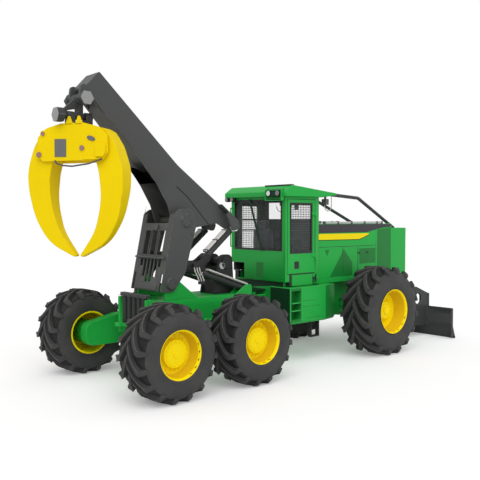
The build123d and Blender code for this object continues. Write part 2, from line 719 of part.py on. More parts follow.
with BuildPart() as front_guard:
    block((HOOD_FRONT_X, NOSE_X), (-HOOD_HALF, HOOD_HALF), (DECK_TOP, GUARD_TOP))
    block(
        (HOOD_FRONT_X + HOOD_WALL, BIG),
        (HOOD_WALL - HOOD_HALF, HOOD_HALF - HOOD_WALL),
        (DECK_TOP + 2 * HOOD_WALL, GUARD_TOP - 2 * HOOD_WALL),
        mode=Mode.SUBTRACT,
    )
    opening = GUARD_TOP - DECK_TOP - 4 * HOOD_WALL
    pitch = opening / GUARD_BARS
    for index in range(GUARD_BARS - 1):
        middle_z = DECK_TOP + 2 * HOOD_WALL + (index + 1) * pitch
        block(
            (NOSE_X - HOOD_WALL, NOSE_X),
            (-HOOD_HALF, HOOD_HALF),
            (middle_z - pitch / 5, middle_z + pitch / 5),
        )
keep(front_guard, "front_guard")

RISER_RADIUS = 36.0
RISER_BEND = 260.0
RISER_PATH = [(ROOF_FRONT_X, 700.0, 3342.0), (2140.0, 640.0, 3290.0), (3640.0, 500.0, GUARD_TOP)]
with BuildPart() as limb_risers:
    for sign in SIDES.values():
        points = [(x, sign * y, z) for x, y, z in RISER_PATH]
        with BuildLine() as route:
            FilletPolyline(*points, radius=RISER_BEND)
        with BuildSketch(Plane(origin=route.line @ 0, z_dir=route.line % 0)) as tube:
            Circle(RISER_RADIUS)
        sweep(tube.sketch, path=route.line)
    block((-BIG, ROOF_FRONT_X), (-BIG, BIG), (0, BIG), mode=Mode.SUBTRACT)
    block((0, BIG), (-BIG, BIG), (0, GUARD_TOP), mode=Mode.SUBTRACT)
keep(limb_risers, "limb_risers")

LAMP = 120.0            # side of a front lamp
LAMP_X, LAMP_Y, LAMP_Z = 1030.0, 560.0, 3130.0    # a front lamp's rear, inner and lower faces
LAMP_STEM = 40.0
REAR_LAMP = 90.0
REAR_LAMP_Y = 780.0
with BuildPart() as work_lamps:
    for low, high in both_sides(LAMP_Y, LAMP_Y + LAMP):
        block((LAMP_X, LAMP_X + LAMP), (low, high), (LAMP_Z, LAMP_Z + LAMP))
        stem_x = (LAMP_X + (LAMP - LAMP_STEM) / 2, LAMP_X + (LAMP + LAMP_STEM) / 2)
        stem_y = ((low + high - LAMP_STEM) / 2, (low + high + LAMP_STEM) / 2)
        block(stem_x, stem_y, (LAMP_Z + LAMP, ROOF_TIP[1]))
    for low, high in both_sides(REAR_LAMP_Y, REAR_LAMP_Y + REAR_LAMP):
        block((ROOF_REAR_X, ROOF_REAR_X + 70), (low, high), (CAB_TOP - REAR_LAMP, CAB_TOP))
    add(cab_roof.part, mode=Mode.SUBTRACT)
keep(work_lamps, "work_lamps")

# ==== Blade ======================================================================================
def mouldboard(half, height):
    """The curved front plate, from the cutting edge on the ground up to its leaning top edge."""
    hollow_x = BLADE_X - BLADE_DEPTH
    top_x = BLADE_X - BLADE_LEAN
    with BuildSketch(side(half)) as curve:
        with BuildLine():
            face = ThreePointArc((BLADE_X, 0), (hollow_x, height / 2), (top_x, height))
            back = ThreePointArc(
                (BLADE_X - BLADE_THICK, 0),
                (hollow_x - BLADE_THICK, height / 2),
                (top_x - BLADE_THICK, height),
            )
            Line(face @ 0, back @ 0)
            Line(face @ 1, back @ 1)
        make_face()
    extrude(curve.sketch, amount=2 * half)


back_x = BLADE_X - BLADE_DEPTH - BLADE_THICK
board_x = BLADE_X - BLADE_DEPTH - BLADE_THICK / 2
with BuildPart() as blade:
    mouldboard(BLADE_HALF, BLADE_HEIGHT)
    for low, high in both_sides(BLADE_EAR_IN, BLADE_EAR_OUT):
        block(
            (BLADE_X - BLADE_LEAN - BLADE_THICK, BLADE_X - BLADE_LEAN),
            (low, high),
            (BLADE_HEIGHT - END_THICK, BLADE_EAR_HEIGHT),
        )
    for low, high in both_sides(BLADE_HALF - END_THICK, BLADE_HALF):
        plate(
            [
                (BLADE_X, 0, 0),
                (back_x, END_THICK, 0),
                (back_x, BLADE_HEIGHT, 40),
                (BLADE_X - BLADE_LEAN, BLADE_HEIGHT, 0),
                (BLADE_X - BLADE_DEPTH, BLADE_HEIGHT / 2, 0),
            ],
            low,
            high,
        )
    for low, high in both_sides(ARM_IN, ARM_IN + ARM_THICK):
        plate(
            [
                (BLADE_PIVOT_X - ARM_REACH, BLADE_PIVOT_Z - ARM_REACH, ARM_REACH - 10),
                (BLADE_PIVOT_X - ARM_REACH, BLADE_PIVOT_Z + ARM_REACH, ARM_REACH - 10),
                (BLADE_PIVOT_X + 630, BLADE_PIVOT_Z + ARM_RISE - 50, 200),
                (BLADE_PIVOT_X + 930, BLADE_PIVOT_Z + ARM_RISE, 80),
                (BLADE_X - BLADE_LEAN - BLADE_THICK / 2, BLADE_EAR_HEIGHT, 0),
                (board_x, BLADE_HEIGHT / 2, 0),
                (board_x, BLADE_PIVOT_Z - ARM_DROP - 40, 0),
                (BLADE_PIVOT_X + 780, BLADE_PIVOT_Z - ARM_DROP, 200),
            ],
            low,
            high,
        )
        bar(ARM_HOLE_X, ARM_HOLE_Z, ARM_HOLE, low, high, mode=Mode.SUBTRACT)
        bar(BLADE_PIVOT_X, BLADE_PIVOT_Z, BLADE_PIN + RUN_GAP, low, high, mode=Mode.SUBTRACT)
    # tie-down eyes through the ears
    for sign in SIDES.values():
        rod_along(
            (back_x, sign * TIE_FRONT_Y, TIE_FRONT_Z),
            (BLADE_X, sign * TIE_FRONT_Y, TIE_FRONT_Z),
            TIE_RADIUS,
            mode=Mode.SUBTRACT,
        )
    # cross tube between the arms, with the cylinders' lugs on it
    bar(BLADE_RAM.eye_x + 190, BLADE_RAM.eye_z - 130, 70, -ARM_IN, ARM_IN)
    ram_lugs(
        BLADE_RAM,
        [
            (BLADE_RAM.eye_x - EYE_RADIUS, BLADE_RAM.eye_z + EYE_RADIUS, 60),
            (BLADE_RAM.eye_x + EYE_RADIUS, BLADE_RAM.eye_z + EYE_RADIUS, 60),
            (BLADE_RAM.eye_x + 260, BLADE_RAM.eye_z - 110, 0),
            (BLADE_RAM.eye_x + 180, BLADE_RAM.eye_z - 190, 0),
            (BLADE_RAM.eye_x - EYE_RADIUS, BLADE_RAM.eye_z - EYE_RADIUS, 60),
        ],
    )
    pin_heads(BLADE_RAM)
keep(blade, "blade")

# ==== Cylinders ==================================================================================
def ram_points(ram):
    """The base pin, the direction towards the rod's eye and the length between the pins."""
    length = hypot(ram.eye_x - ram.base_x, ram.eye_z - ram.base_z)
    along = ((ram.eye_x - ram.base_x) / length, (ram.eye_z - ram.base_z) / length)
    return along, length


def ram_barrels(ram):
    """Both barrels of a cylinder pair: base eye, tube and gland, bored for the rod."""
    along, length = ram_points(ram)
    mouth = length - ram.barrel_end
    with BuildPart() as body:
        for centre in (-ram.side_y, ram.side_y):

            def point(distance):
                return (ram.base_x + along[0] * distance, centre, ram.base_z + along[1] * distance)

            bar(ram.base_x, ram.base_z, EYE_RADIUS, centre - ram.eye_half, centre + ram.eye_half)
            rod_along(point(EYE_RADIUS - 20), point(mouth), ram.eye_half - EYE_STEP)
            bar(
                ram.base_x,
                ram.base_z,
                RAM_PIN + RUN_GAP,
                centre - ram.eye_half,
                centre + ram.eye_half,
                mode=Mode.SUBTRACT,
            )
            rod_along(
                point(EYE_RADIUS + 40), point(length), ram.rod_radius + RUN_GAP, mode=Mode.SUBTRACT
            )
    return body


def ram_rods(ram):
    """Both rods of a cylinder pair, with their eyes, which move free between their lugs."""
    along, length = ram_points(ram)
    with BuildPart() as body:
        for centre in (-ram.side_y, ram.side_y):

            def point(distance):
                return (ram.base_x + along[0] * distance, centre, ram.base_z + along[1] * distance)

            rod_along(point(length - ram.rod_length), point(length - EYE_RADIUS + 20), ram.rod_radius)
            bar(ram.eye_x, ram.eye_z, EYE_RADIUS, centre - ram.eye_half, centre + ram.eye_half)
    return body


for ram in (ARCH_RAM, BOOM_RAM, BLADE_RAM):
    keep(ram_barrels(ram), f"{ram.name}_barrels")
    keep(ram_rods(ram), f"{ram.name}_rods")


# ==== Rear chassis ===============================================================================
BRACKET_OUT = ARCH_HALF - ARCH_PLATE - SIDE_GAP
ROLLER_X = -3195.0       # axis of the fairlead's rollers
SHELF_REAR_X = -3260.0
SHELF_THICK = 60.0
POST_THICK = 50.0
ROLLER_RADIUS = 50.0
ROLLER_COUNT = 5
ROLLER_SPAN = 300.0
ROLLER_Z = (1000.0, 1540.0)
with BuildPart() as rear_chassis:
    block(REAR_BOX_X, (-REAR_HALF, REAR_HALF), (REAR_BOTTOM, REAR_TOP))
    block(
        (REAR_BOX_X[0] + REAR_PLATE, REAR_BOX_X[1] - REAR_PLATE),
        (REAR_PLATE - REAR_HALF, REAR_HALF - REAR_PLATE),
        (0, REAR_TOP - REAR_PLATE),
        mode=Mode.SUBTRACT,
    )
    # tail shelf and posts that carry the fairlead
    shelf_z = (ROLLER_Z[0] - SHELF_THICK, ROLLER_Z[0])
    block((SHELF_REAR_X, REAR_BOX_X[0]), (-REAR_HALF, REAR_HALF), shelf_z)
    for low, high in both_sides(REAR_HALF - POST_THICK, REAR_HALF):
        block((SHELF_REAR_X, REAR_BOX_X[0]), (low, high), (REAR_BOTTOM, ROLLER_Z[1] - 80))
    # tie-down ears behind the shelf
    for sign in SIDES.values():
        ear_reach = TIE_RADIUS + TIE_EDGE
        eye_x = SHELF_REAR_X - TIE_RADIUS
        with BuildSketch(Plane.XY.offset(shelf_z[0])) as ear:
            with Locations((eye_x, sign * TIE_REAR_Y)):
                Circle(ear_reach)
            with Locations(((eye_x + SHELF_REAR_X) / 2, sign * TIE_REAR_Y)):
                Rectangle(SHELF_REAR_X - eye_x, 2 * ear_reach)
            with Locations((eye_x, sign * TIE_REAR_Y)):
                Circle(TIE_RADIUS, mode=Mode.SUBTRACT)
        extrude(ear.sketch, amount=SHELF_THICK)
    # lugs of the arch cylinders
    ram_lugs(
        ARCH_RAM,
        [
            (REAR_BOX_X[1] - 260, REAR_TOP - 60, 0),
            (ARCH_RAM.base_x - EYE_RADIUS, ARCH_RAM.base_z + EYE_RADIUS, 60),
            (ARCH_RAM.base_x + EYE_RADIUS, ARCH_RAM.base_z + EYE_RADIUS, 60),
            (ARCH_RAM.base_x + EYE_RADIUS, ARCH_RAM.base_z - EYE_RADIUS, 60),
            (REAR_BOX_X[1], REAR_TOP - 200, 0),
            (REAR_BOX_X[1] - 260, REAR_TOP - 200, 0),
        ],
    )
    base_pins(ARCH_RAM)
    # steering tongues, tapered to their round ends
    for level in TONGUE_LEVELS:
        low = level - TONGUE_THICK / 2
        with BuildSketch(Plane.XY.offset(low)) as tongue:
            with BuildLine():
                Polyline(
                    (REAR_BOX_X[1], -REAR_HALF),
                    (JOINT_X, -YOKE_RADIUS + 20),
                    (JOINT_X, YOKE_RADIUS - 20),
                    (REAR_BOX_X[1], REAR_HALF),
                    close=True,
                )
            make_face()
            with Locations((JOINT_X, 0)):
                Circle(YOKE_RADIUS - 20)
                Circle(STEER_PIN + RUN_GAP, mode=Mode.SUBTRACT)
        extrude(tongue.sketch, amount=TONGUE_THICK)
keep(rear_chassis, "rear_chassis")

with BuildPart() as arch_brackets:
    for low, high in both_sides(BRACKET_OUT - BRACKET_THICK, BRACKET_OUT):
        plate(
            [
                (ARCH_X - ARCH_BOSS, REAR_TOP, 0),
                (ARCH_X - ARCH_BOSS, ARCH_Z + ARCH_BOSS, 95),
                (ARCH_X + ARCH_BOSS, ARCH_Z + ARCH_BOSS, 95),
                (ARCH_X + BRACKET_FOOT, REAR_TOP, 0),
            ],
            low,
            high,
        )
        bar(ARCH_X, ARCH_Z, ARCH_PIN + RUN_GAP, low, high, mode=Mode.SUBTRACT)
keep(arch_brackets, "arch_brackets")

with BuildPart() as bogie_cases:
    for low, high in both_sides(CASE_IN, CASE_OUT):
        plate(
            [
                (REAR_AXLE_X - CASE_RADIUS - 30, REAR_WHEEL.radius - CASE_RADIUS, 150),
                (MID_AXLE_X + CASE_RADIUS + 30, REAR_WHEEL.radius - CASE_RADIUS, 150),
                (MID_AXLE_X + CASE_RADIUS + 30, REAR_WHEEL.radius + CASE_RADIUS, 150),
                (BOGIE_X + 420, CASE_TOP, 80),
                (BOGIE_X - 420, CASE_TOP, 80),
                (REAR_AXLE_X - CASE_RADIUS - 30, REAR_WHEEL.radius + CASE_RADIUS, 150),
            ],
            low,
            high,
        )
    for low, high in both_sides(REAR_HALF, CASE_IN):
        bar(BOGIE_X, TRUNNION_Z, TRUNNION_RADIUS, low, high)
    hub_end = REAR_TRACK_HALF + REAR_WHEEL.hub_back - RUN_GAP
    for axle_x in (REAR_AXLE_X, MID_AXLE_X):
        for low, high in both_sides(CASE_OUT, hub_end):
            bar(axle_x, REAR_WHEEL.radius, HUB_RADIUS, low, high)
keep(bogie_cases, "bogie_cases")

with BuildPart() as fairlead:
    for index in range(ROLLER_COUNT):
        roller_y = (index - (ROLLER_COUNT - 1) / 2) * 2 * ROLLER_SPAN / (ROLLER_COUNT - 1)
        rod_along(
            (ROLLER_X, roller_y, ROLLER_Z[0]), (ROLLER_X, roller_y, ROLLER_Z[1]), ROLLER_RADIUS
        )
    block(
        (ROLLER_X - ROLLER_RADIUS, ROLLER_X + ROLLER_RADIUS),
        (POST_THICK - REAR_HALF, REAR_HALF - POST_THICK),
        (ROLLER_Z[1] - SHELF_THICK, ROLLER_Z[1]),
    )
keep(fairlead, "fairlead")

WINCH_X, WINCH_Z = -1290.0, 2010.0
WINCH_HALF = 220.0
with BuildPart() as winch:
    for low, high in both_sides(WINCH_HALF - 50, WINCH_HALF):
        plate(
            [
                (WINCH_X - 300, REAR_TOP, 0),
                (WINCH_X - 170, WINCH_Z + 150, 120),
                (WINCH_X + 150, WINCH_Z + 150, 120),
                (WINCH_X + 200, REAR_TOP, 0),
            ],
            low,
            high,
        )
    bar(WINCH_X, WINCH_Z, 85, -WINCH_HALF, WINCH_HALF)
    for low, high in both_sides(WINCH_HALF, WINCH_HALF + 25):
        bar(WINCH_X, WINCH_Z, 125, low, high)
    block((WINCH_X - 250, WINCH_X + 180), (-WINCH_HALF, WINCH_HALF), (REAR_TOP, REAR_TOP + 260))
keep(winch, "winch")

# ==== Arch =======================================================================================
ARCH_BOTTOM_Z = 1580.0
ARCH_TOP_Z = 2930.0
LEAN = 0.212            # the rear face leans forward by this much for each millimetre of height
ARCH_REAR_X = -2975.0   # rear face at its bottom edge


def rear_face_x(z):
    return ARCH_REAR_X + LEAN * (z - ARCH_BOTTOM_Z)


def arch_window(low_z, high_z, y_low, y_high):
    """Cut an opening through the rear panel."""
    block(
        (rear_face_x(low_z) - 60, rear_face_x(high_z) + 120),
        (y_low, y_high),
        (low_z, high_z),
        mode=Mode.SUBTRACT,
    )


ARCH_WAIST_X, ARCH_WAIST_Z = -2350.0, 2230.0      # front edge of a side plate at half height
MEMBER_X, MEMBER_Z = -2560.0, (1960.0, 2240.0)    # cross member behind the panel
HORN_TOP_Z = 2085.0     # top edge of the plates that carry the cylinders' pins
HORN_RUN = 190.0        # where that edge turns up, behind the boom cylinders' pins
PANEL_CORNER_Z = 1880.0
PANEL_NOTCH_Z = 2760.0
PANEL_NOTCH_HALF = 345.0
WINDOW_HALF = 330.0
UPPER_WINDOWS = (2205.0, 2628.0)
UPPER_BAR = 60.0
LOWER_WINDOWS = (1730.0, 2130.0)
LOWER_BAR = 34.0
LOWER_RISE = [270.0, 90.0, 0.0, 0.0, 90.0, 270.0]     # each lower window's foot above the lowest
with BuildPart() as arch:
    inner_y = ARCH_HALF - ARCH_PLATE
    plate(
        [
            (rear_face_x(ARCH_BOTTOM_Z), ARCH_BOTTOM_Z, 0),
            (rear_face_x(ARCH_TOP_Z), ARCH_TOP_Z, 0),
            (rear_face_x(ARCH_TOP_Z) + PANEL, ARCH_TOP_Z, 0),
            (rear_face_x(ARCH_BOTTOM_Z) + PANEL, ARCH_BOTTOM_Z, 0),
        ],
        -inner_y,
        inner_y,
    )
    # the boom's foot passes through a notch in the panel's top
    block(
        (-BIG, rear_face_x(ARCH_TOP_Z) + 100),
        (-PANEL_NOTCH_HALF, PANEL_NOTCH_HALF),
        (PANEL_NOTCH_Z, BIG),
        mode=Mode.SUBTRACT,
    )
    # the panel's lower corners swing past the chassis brackets
    for low, high in both_sides(BRACKET_OUT - BRACKET_THICK - SIDE_GAP, inner_y):
        block((-BIG, ARCH_X - ARCH_BOSS), (low, high), (0, PANEL_CORNER_Z), mode=Mode.SUBTRACT)
    for index in range(3):
        pitch = 2 * WINDOW_HALF / 3
        start = -WINDOW_HALF + index * pitch
        arch_window(*UPPER_WINDOWS, start + UPPER_BAR / 2, start + pitch - UPPER_BAR / 2)
    for index, rise in enumerate(LOWER_RISE):
        pitch = 2 * WINDOW_HALF / len(LOWER_RISE)
        start = -WINDOW_HALF + index * pitch
        arch_window(
            LOWER_WINDOWS[0] + rise,
            LOWER_WINDOWS[1],
            start + LOWER_BAR / 2,
            start + pitch - LOWER_BAR / 2,
        )
    # side plates
    for low, high in both_sides(inner_y, ARCH_HALF):
        plate(
            [
                (rear_face_x(ARCH_BOTTOM_Z), ARCH_BOTTOM_Z, 0),
                (rear_face_x(ARCH_TOP_Z), ARCH_TOP_Z, 60),
                (BOOM_X - 150, BOOM_Z + 210, 120),
                (BOOM_X + 120, BOOM_Z + 210, 110),
                (BOOM_X + 225, BOOM_Z - 60, 60),
                (ARCH_WAIST_X, ARCH_WAIST_Z, 200),
                (ARCH_WAIST_X - 90, ARCH_WAIST_Z - 330, 100),
                (ARCH_X + 60, ARCH_Z - 150, 110),
                (ARCH_X - 140, ARCH_Z - 150, 90),
            ],
            low,
            high,
        )
    # lower pivots with their bosses
    for low, high in both_sides(BRACKET_OUT - BRACKET_THICK, ARCH_HALF + 50):
        bar(ARCH_X, ARCH_Z, ARCH_PIN, low, high)
    for low, high in both_sides(ARCH_HALF, ARCH_HALF + 50):
        bar(ARCH_X, ARCH_Z, ARCH_BOSS, low, high)
    # boom pin with its caps
    bar(BOOM_X, BOOM_Z, BOOM_PIN, -ARCH_HALF, ARCH_HALF)
    for low, high in both_sides(ARCH_HALF, ARCH_HALF + 15):
        bar(BOOM_X, BOOM_Z, BOOM_CAP, low, high)
    # cross member and the lugs for both cylinder pairs
    block((MEMBER_X, MEMBER_X + 140), (-inner_y, inner_y), MEMBER_Z)
    ram_lugs(
        BOOM_RAM,
        [
            (MEMBER_X, HORN_TOP_Z, 0),
            (BOOM_RAM.base_x - HORN_RUN, HORN_TOP_Z, 120),
            (BOOM_RAM.base_x, BOOM_RAM.base_z + EYE_RADIUS, 60),
            (BOOM_RAM.base_x + EYE_RADIUS, BOOM_RAM.base_z, 50),
            (BOOM_RAM.base_x, BOOM_RAM.base_z - EYE_RADIUS, 60),
            (ARCH_RAM.eye_x + EYE_RADIUS, ARCH_RAM.eye_z - 20, 60),
            (ARCH_RAM.eye_x, ARCH_RAM.eye_z - EYE_RADIUS, 60),
            (MEMBER_X, MEMBER_Z[0], 0),
        ],
        last=inner_y,
    )
    base_pins(BOOM_RAM, last=inner_y)
    near = lug_levels(ARCH_RAM)[0] - LUG_THICK
    for low, high in both_sides(near - HEAD_THICK, near):
        bar(ARCH_RAM.eye_x, ARCH_RAM.eye_z, RAM_PIN, low, high)
keep(arch, "arch")

# ==== Boom =======================================================================================
# side outline: tip, knee and front end along the top, then lug, foot and underside
TIP_TOP = (-3980.0, 5230.0)
KNEE_TOP = (-2480.0, 3790.0)
FRONT_TOP_X, FRONT_TOP_Z = -1240.0, 2910.0
TIP_BOTTOM = (-4250.0, 4940.0)
BELLY = (-3450.0, 4090.0)
HEEL = (-2910.0, 3440.0)
TIP_EAR = 60.0          # thickness of the ears at the boom's tip
TAPER_X = (-2500.0, -4100.0)      # the boom narrows between these
with BuildPart() as boom:
    outline = [
        (*TIP_TOP, 30),
        (*KNEE_TOP, 900),
        (FRONT_TOP_X, FRONT_TOP_Z, 60),
        (LUG_X + 95, LUG_Z + 20, 60),
        (LUG_X + 40, LUG_Z - 95, 60),
        (LUG_X - 110, LUG_Z - 60, 40),
        (LUG_X - 330, LUG_Z + 60, 80),
        (BOOM_X + 420, BOOM_Z - 110, 120),
        (BOOM_X, BOOM_Z - 180, 150),
        (BOOM_X - 150, BOOM_Z - 60, 110),
        (BOOM_X - 270, BOOM_Z + 290, 200),
        (*HEEL, 300),
        (*BELLY, 500),
        (*TIP_BOTTOM, 30),
    ]
    plate(outline, -BOOM_HALF, BOOM_HALF)
    # open underneath from the heel to the front lugs
    plate(
        [
            (HEEL[0] + 60, HEEL[1] + 130, 40),
            (KNEE_TOP[0] - 25, KNEE_TOP[1] - 60, 0),
            (FRONT_TOP_X - 30, FRONT_TOP_Z - 45, 0),
            (FRONT_TOP_X + 400, FRONT_TOP_Z - 400, 0),
            (FRONT_TOP_X, 1500, 0),
            (HEEL[0] - 500, 1500, 0),
            (HEEL[0] - 500, HEEL[1] - 300, 0),
        ],
        BOOM_PLATE - BOOM_HALF,
        BOOM_HALF - BOOM_PLATE,
        mode=Mode.SUBTRACT,
    )
    # the boom narrows towards its tip
    for sign in SIDES.values():
        with BuildSketch() as taper:
            with BuildLine():
                Polyline(
                    (TAPER_X[0], sign * BOOM_HALF),
                    (TAPER_X[1], sign * TIP_HALF),
                    (-BIG, sign * TIP_HALF),
                    (-BIG, sign * BIG),
                    (TAPER_X[0], sign * BIG),
                    close=True,
                )
            make_face()
        extrude(taper.sketch, amount=BIG, mode=Mode.SUBTRACT)
    # ears that hold the crosshead's pin
    for low, high in both_sides(TIP_HALF - TIP_EAR, TIP_HALF):
        plate(
            [
                (SWING_X + 150, SWING_Z + 195, 0),
                (SWING_X - 60, SWING_Z + 245, 60),
                (SWING_X - 95, SWING_Z, 60),
                (SWING_X, SWING_Z - 95, 80),
                (SWING_X + 95, SWING_Z - 20, 60),
                (SWING_X + 300, SWING_Z - 15, 0),
            ],
            low,
            high,
        )
    block(
        (SWING_X - 80, SWING_X + 260),
        (TIP_EAR - TIP_HALF, TIP_HALF - TIP_EAR),
        (0, SWING_Z + 115),
        mode=Mode.SUBTRACT,
    )
    bar(SWING_X, SWING_Z, CROSS_PIN + RUN_GAP, -BOOM_HALF, BOOM_HALF, mode=Mode.SUBTRACT)
    # foot bore and the outer lugs for the cylinders' rods
    bar(BOOM_X, BOOM_Z, BOOM_PIN + RUN_GAP, -BOOM_HALF, BOOM_HALF, mode=Mode.SUBTRACT)
    outer = RAM_Y + BOOM_RAM.eye_half + SIDE_GAP
    for low, high in both_sides(outer, outer + LUG_THICK):
        plate(
            [
                (LUG_X - 330, LUG_Z + 420, 60),
                (LUG_X + 60, LUG_Z + 110, 60),
                (LUG_X + 90, LUG_Z - 40, 60),
                (LUG_X - 90, LUG_Z - 85, 60),
            ],
            low,
            high,
        )
    for low, high in both_sides(BOOM_HALF - BOOM_PLATE, outer):
        plate(
            [
                (LUG_X - 330, LUG_Z + 420, 0),
                (LUG_X - 130, LUG_Z + 270, 0),
                (LUG_X - 150, LUG_Z + 245, 0),
                (LUG_X - 310, LUG_Z + 370, 0),
            ],
            low,
            high,
        )
    for low, high in both_sides(outer + LUG_THICK, outer + LUG_THICK + HEAD_THICK):
        bar(LUG_X, LUG_Z, RAM_PIN, low, high)
keep(boom, "boom")

# ==== Crosshead and rotator ======================================================================
FLANGE = 30.0
YOKE_EAR_X = (95.0, 215.0)
YOKE_EAR_RADIUS = 75.0
with BuildPart() as crosshead:
    bar(SWING_X, SWING_Z, CROSS_PIN, -SWING_CAP_Y, SWING_CAP_Y)
    bar(SWING_X, SWING_Z, 95, 60 + SIDE_GAP - TIP_HALF, TIP_HALF - 60 - SIDE_GAP)
    for low, high in both_sides(TIP_HALF + SIDE_GAP, SWING_CAP_Y):
        with BuildSketch(side(high)) as cap:
            with Locations((SWING_X, SWING_Z)):
                RegularPolygon(CAP_RADIUS, 6)
        extrude(cap.sketch, amount=high - low)
    block((SWING_X - 50, SWING_X + 50), (-60, 60), (SIDE_Z - 50, SWING_Z))
    rod_along((SWING_X - SIDE_CAP_X, 0, SIDE_Z), (SWING_X + YOKE_EAR_X[1] + 25, 0, SIDE_Z), CROSS_PIN)
    with BuildSketch(Plane.YZ.offset(SWING_X - SIDE_CAP_X)) as cap:
        with Locations((0, SIDE_Z)):
            RegularPolygon(CAP_RADIUS, 6)
    extrude(cap.sketch, amount=130)
    # web from the swing pin down to the rear cap, arched over the rotator's ear
    plate(
        [
            (SWING_X - SIDE_CAP_X + 120, SIDE_Z, 0),
            (SWING_X - SIDE_CAP_X + 120, SIDE_Z + 80, 0),
            (SWING_X - 45, SWING_Z + 50, 0),
            (SWING_X - 5, SIDE_Z + 130, 0),
            (SWING_X - YOKE_EAR_X[1] - SIDE_GAP, SIDE_Z + YOKE_EAR_RADIUS + SIDE_GAP, 0),
            (SWING_X - YOKE_EAR_X[1] - SIDE_GAP, SIDE_Z, 0),
        ],
        -38,
        38,
    )
keep(crosshead, "crosshead")

SPIGOT = 60.0
with BuildPart() as rotator:
    with BuildSketch(Plane.XY.offset(TURN_Z + RUN_GAP)) as flange:
        with Locations((SWING_X, 0)):
            Circle(ROTATOR_RADIUS)
    extrude(flange.sketch, amount=FLANGE)
    rod_along((SWING_X, 0, TURN_Z - 50), (SWING_X, 0, TURN_Z + FLANGE), SPIGOT)
    for low, high in both_sides(*YOKE_EAR_X):
        block(
            (SWING_X + low, SWING_X + high),
            (-YOKE_EAR_RADIUS, YOKE_EAR_RADIUS),
            (TURN_Z + RUN_GAP, SIDE_Z),
        )
        rod_along((SWING_X + low, 0, SIDE_Z), (SWING_X + high, 0, SIDE_Z), YOKE_EAR_RADIUS)
        rod_along(
            (SWING_X + low, 0, SIDE_Z),
            (SWING_X + high, 0, SIDE_Z),
            CROSS_PIN + RUN_GAP,
            mode=Mode.SUBTRACT,
        )
keep(rotator, "rotator")

# ==== Grapple ====================================================================================
HEAD_TOP_HALF = 170.0   # half width of the plate that joins the head's two face plates
with BuildPart() as grapple_head:
    for low, high in both_sides(HEAD_DEPTH, HEAD_DEPTH + HEAD_PLATE):
        plate(
            [
                (-620, 4150, 60),
                (-470, 4290, 120),
                (-200, TURN_Z, 120),
                (200, TURN_Z, 120),
                (470, 4290, 120),
                (620, 4150, 60),
                (640, 3880, 110),
                (540, 3760, 80),
                (-540, 3760, 80),
                (-640, 3880, 110),
            ],
            low,
            high,
            plane=across,
        )
    plate(
        [
            (-HEAD_TOP_HALF, TURN_Z - 60, 0),
            (-HEAD_TOP_HALF, TURN_Z, 0),
            (HEAD_TOP_HALF, TURN_Z, 0),
            (HEAD_TOP_HALF, TURN_Z - 60, 0),
        ],
        -HEAD_DEPTH,
        HEAD_DEPTH,
        plane=across,
    )
    rod_along(
        (SWING_X, 0, TURN_Z - 70), (SWING_X, 0, TURN_Z + 10), SPIGOT + RUN_GAP, mode=Mode.SUBTRACT
    )
    for sign in SIDES.values():
        bar(sign * TONG_U, TONG_Z, TONG_PIN, -HEAD_DEPTH, HEAD_DEPTH, plane=across)
keep(grapple_head, "grapple_head")

# one tong's outline (across, up, corner radius), from its arm down the outside to the tip and back
TONG = [
    (470, 4300, 50),
    (590, 4225, 70),
    (735, 4000, 600),
    (850, 3650, 900),
    (850, 3300, 1200),
    (760, 2850, 1200),
    (520, 2440, 700),
    (70, 2215, 0),
    (35, 2240, 0),
    (330, 2640, 900),
    (470, 3150, 1400),
    (440, 3560, 600),
    (375, 3800, 120),
    (385, 4010, 100),
]
for word, sign in (("right", 1), ("left", -1)):
    with BuildPart() as tong:
        plate(
            [(sign * u, z, r) for u, z, r in TONG],
            -TONG_DEPTH,
            TONG_DEPTH,
            plane=across,
        )
        bar(
            sign * TONG_U,
            TONG_Z,
            TONG_PIN + RUN_GAP,
            -TONG_DEPTH,
            TONG_DEPTH,
            plane=across,
            mode=Mode.SUBTRACT,
        )
        with BuildSketch(
            Plane(
                origin=(SWING_X, 0, 0),
                x_dir=-GRAPPLE_PLANE.z_dir,
                z_dir=GRAPPLE_PLANE.x_dir,
            )
        ) as depth:
            with BuildLine():
                Polyline(
                    (-TONG_DEPTH, 4600),
                    (TONG_DEPTH, 4600),
                    (TONG_DEPTH, 3500),
                    (60, 2200),
                    (-60, 2200),
                    (-TONG_DEPTH, 3500),
                    close=True,
                )
            make_face()
        extrude(depth.sketch, amount=1200, both=True, mode=Mode.INTERSECT)
    keep(tong, f"tong_{word}")
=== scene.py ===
"""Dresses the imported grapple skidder: finishes, lugged tyres, cab fittings, pipes, floor, light and camera.

Metres. +X points forward, +Y to the machine's left and +Z up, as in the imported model.
"""

import json
from collections import namedtuple
from math import cos, pi, radians, sin, tau

import bmesh
import bpy
from bpy.props import FloatProperty, FloatVectorProperty, IntProperty, PointerProperty
from bpy.types import Operator, Panel, PropertyGroup
from mathutils import Matrix, Vector

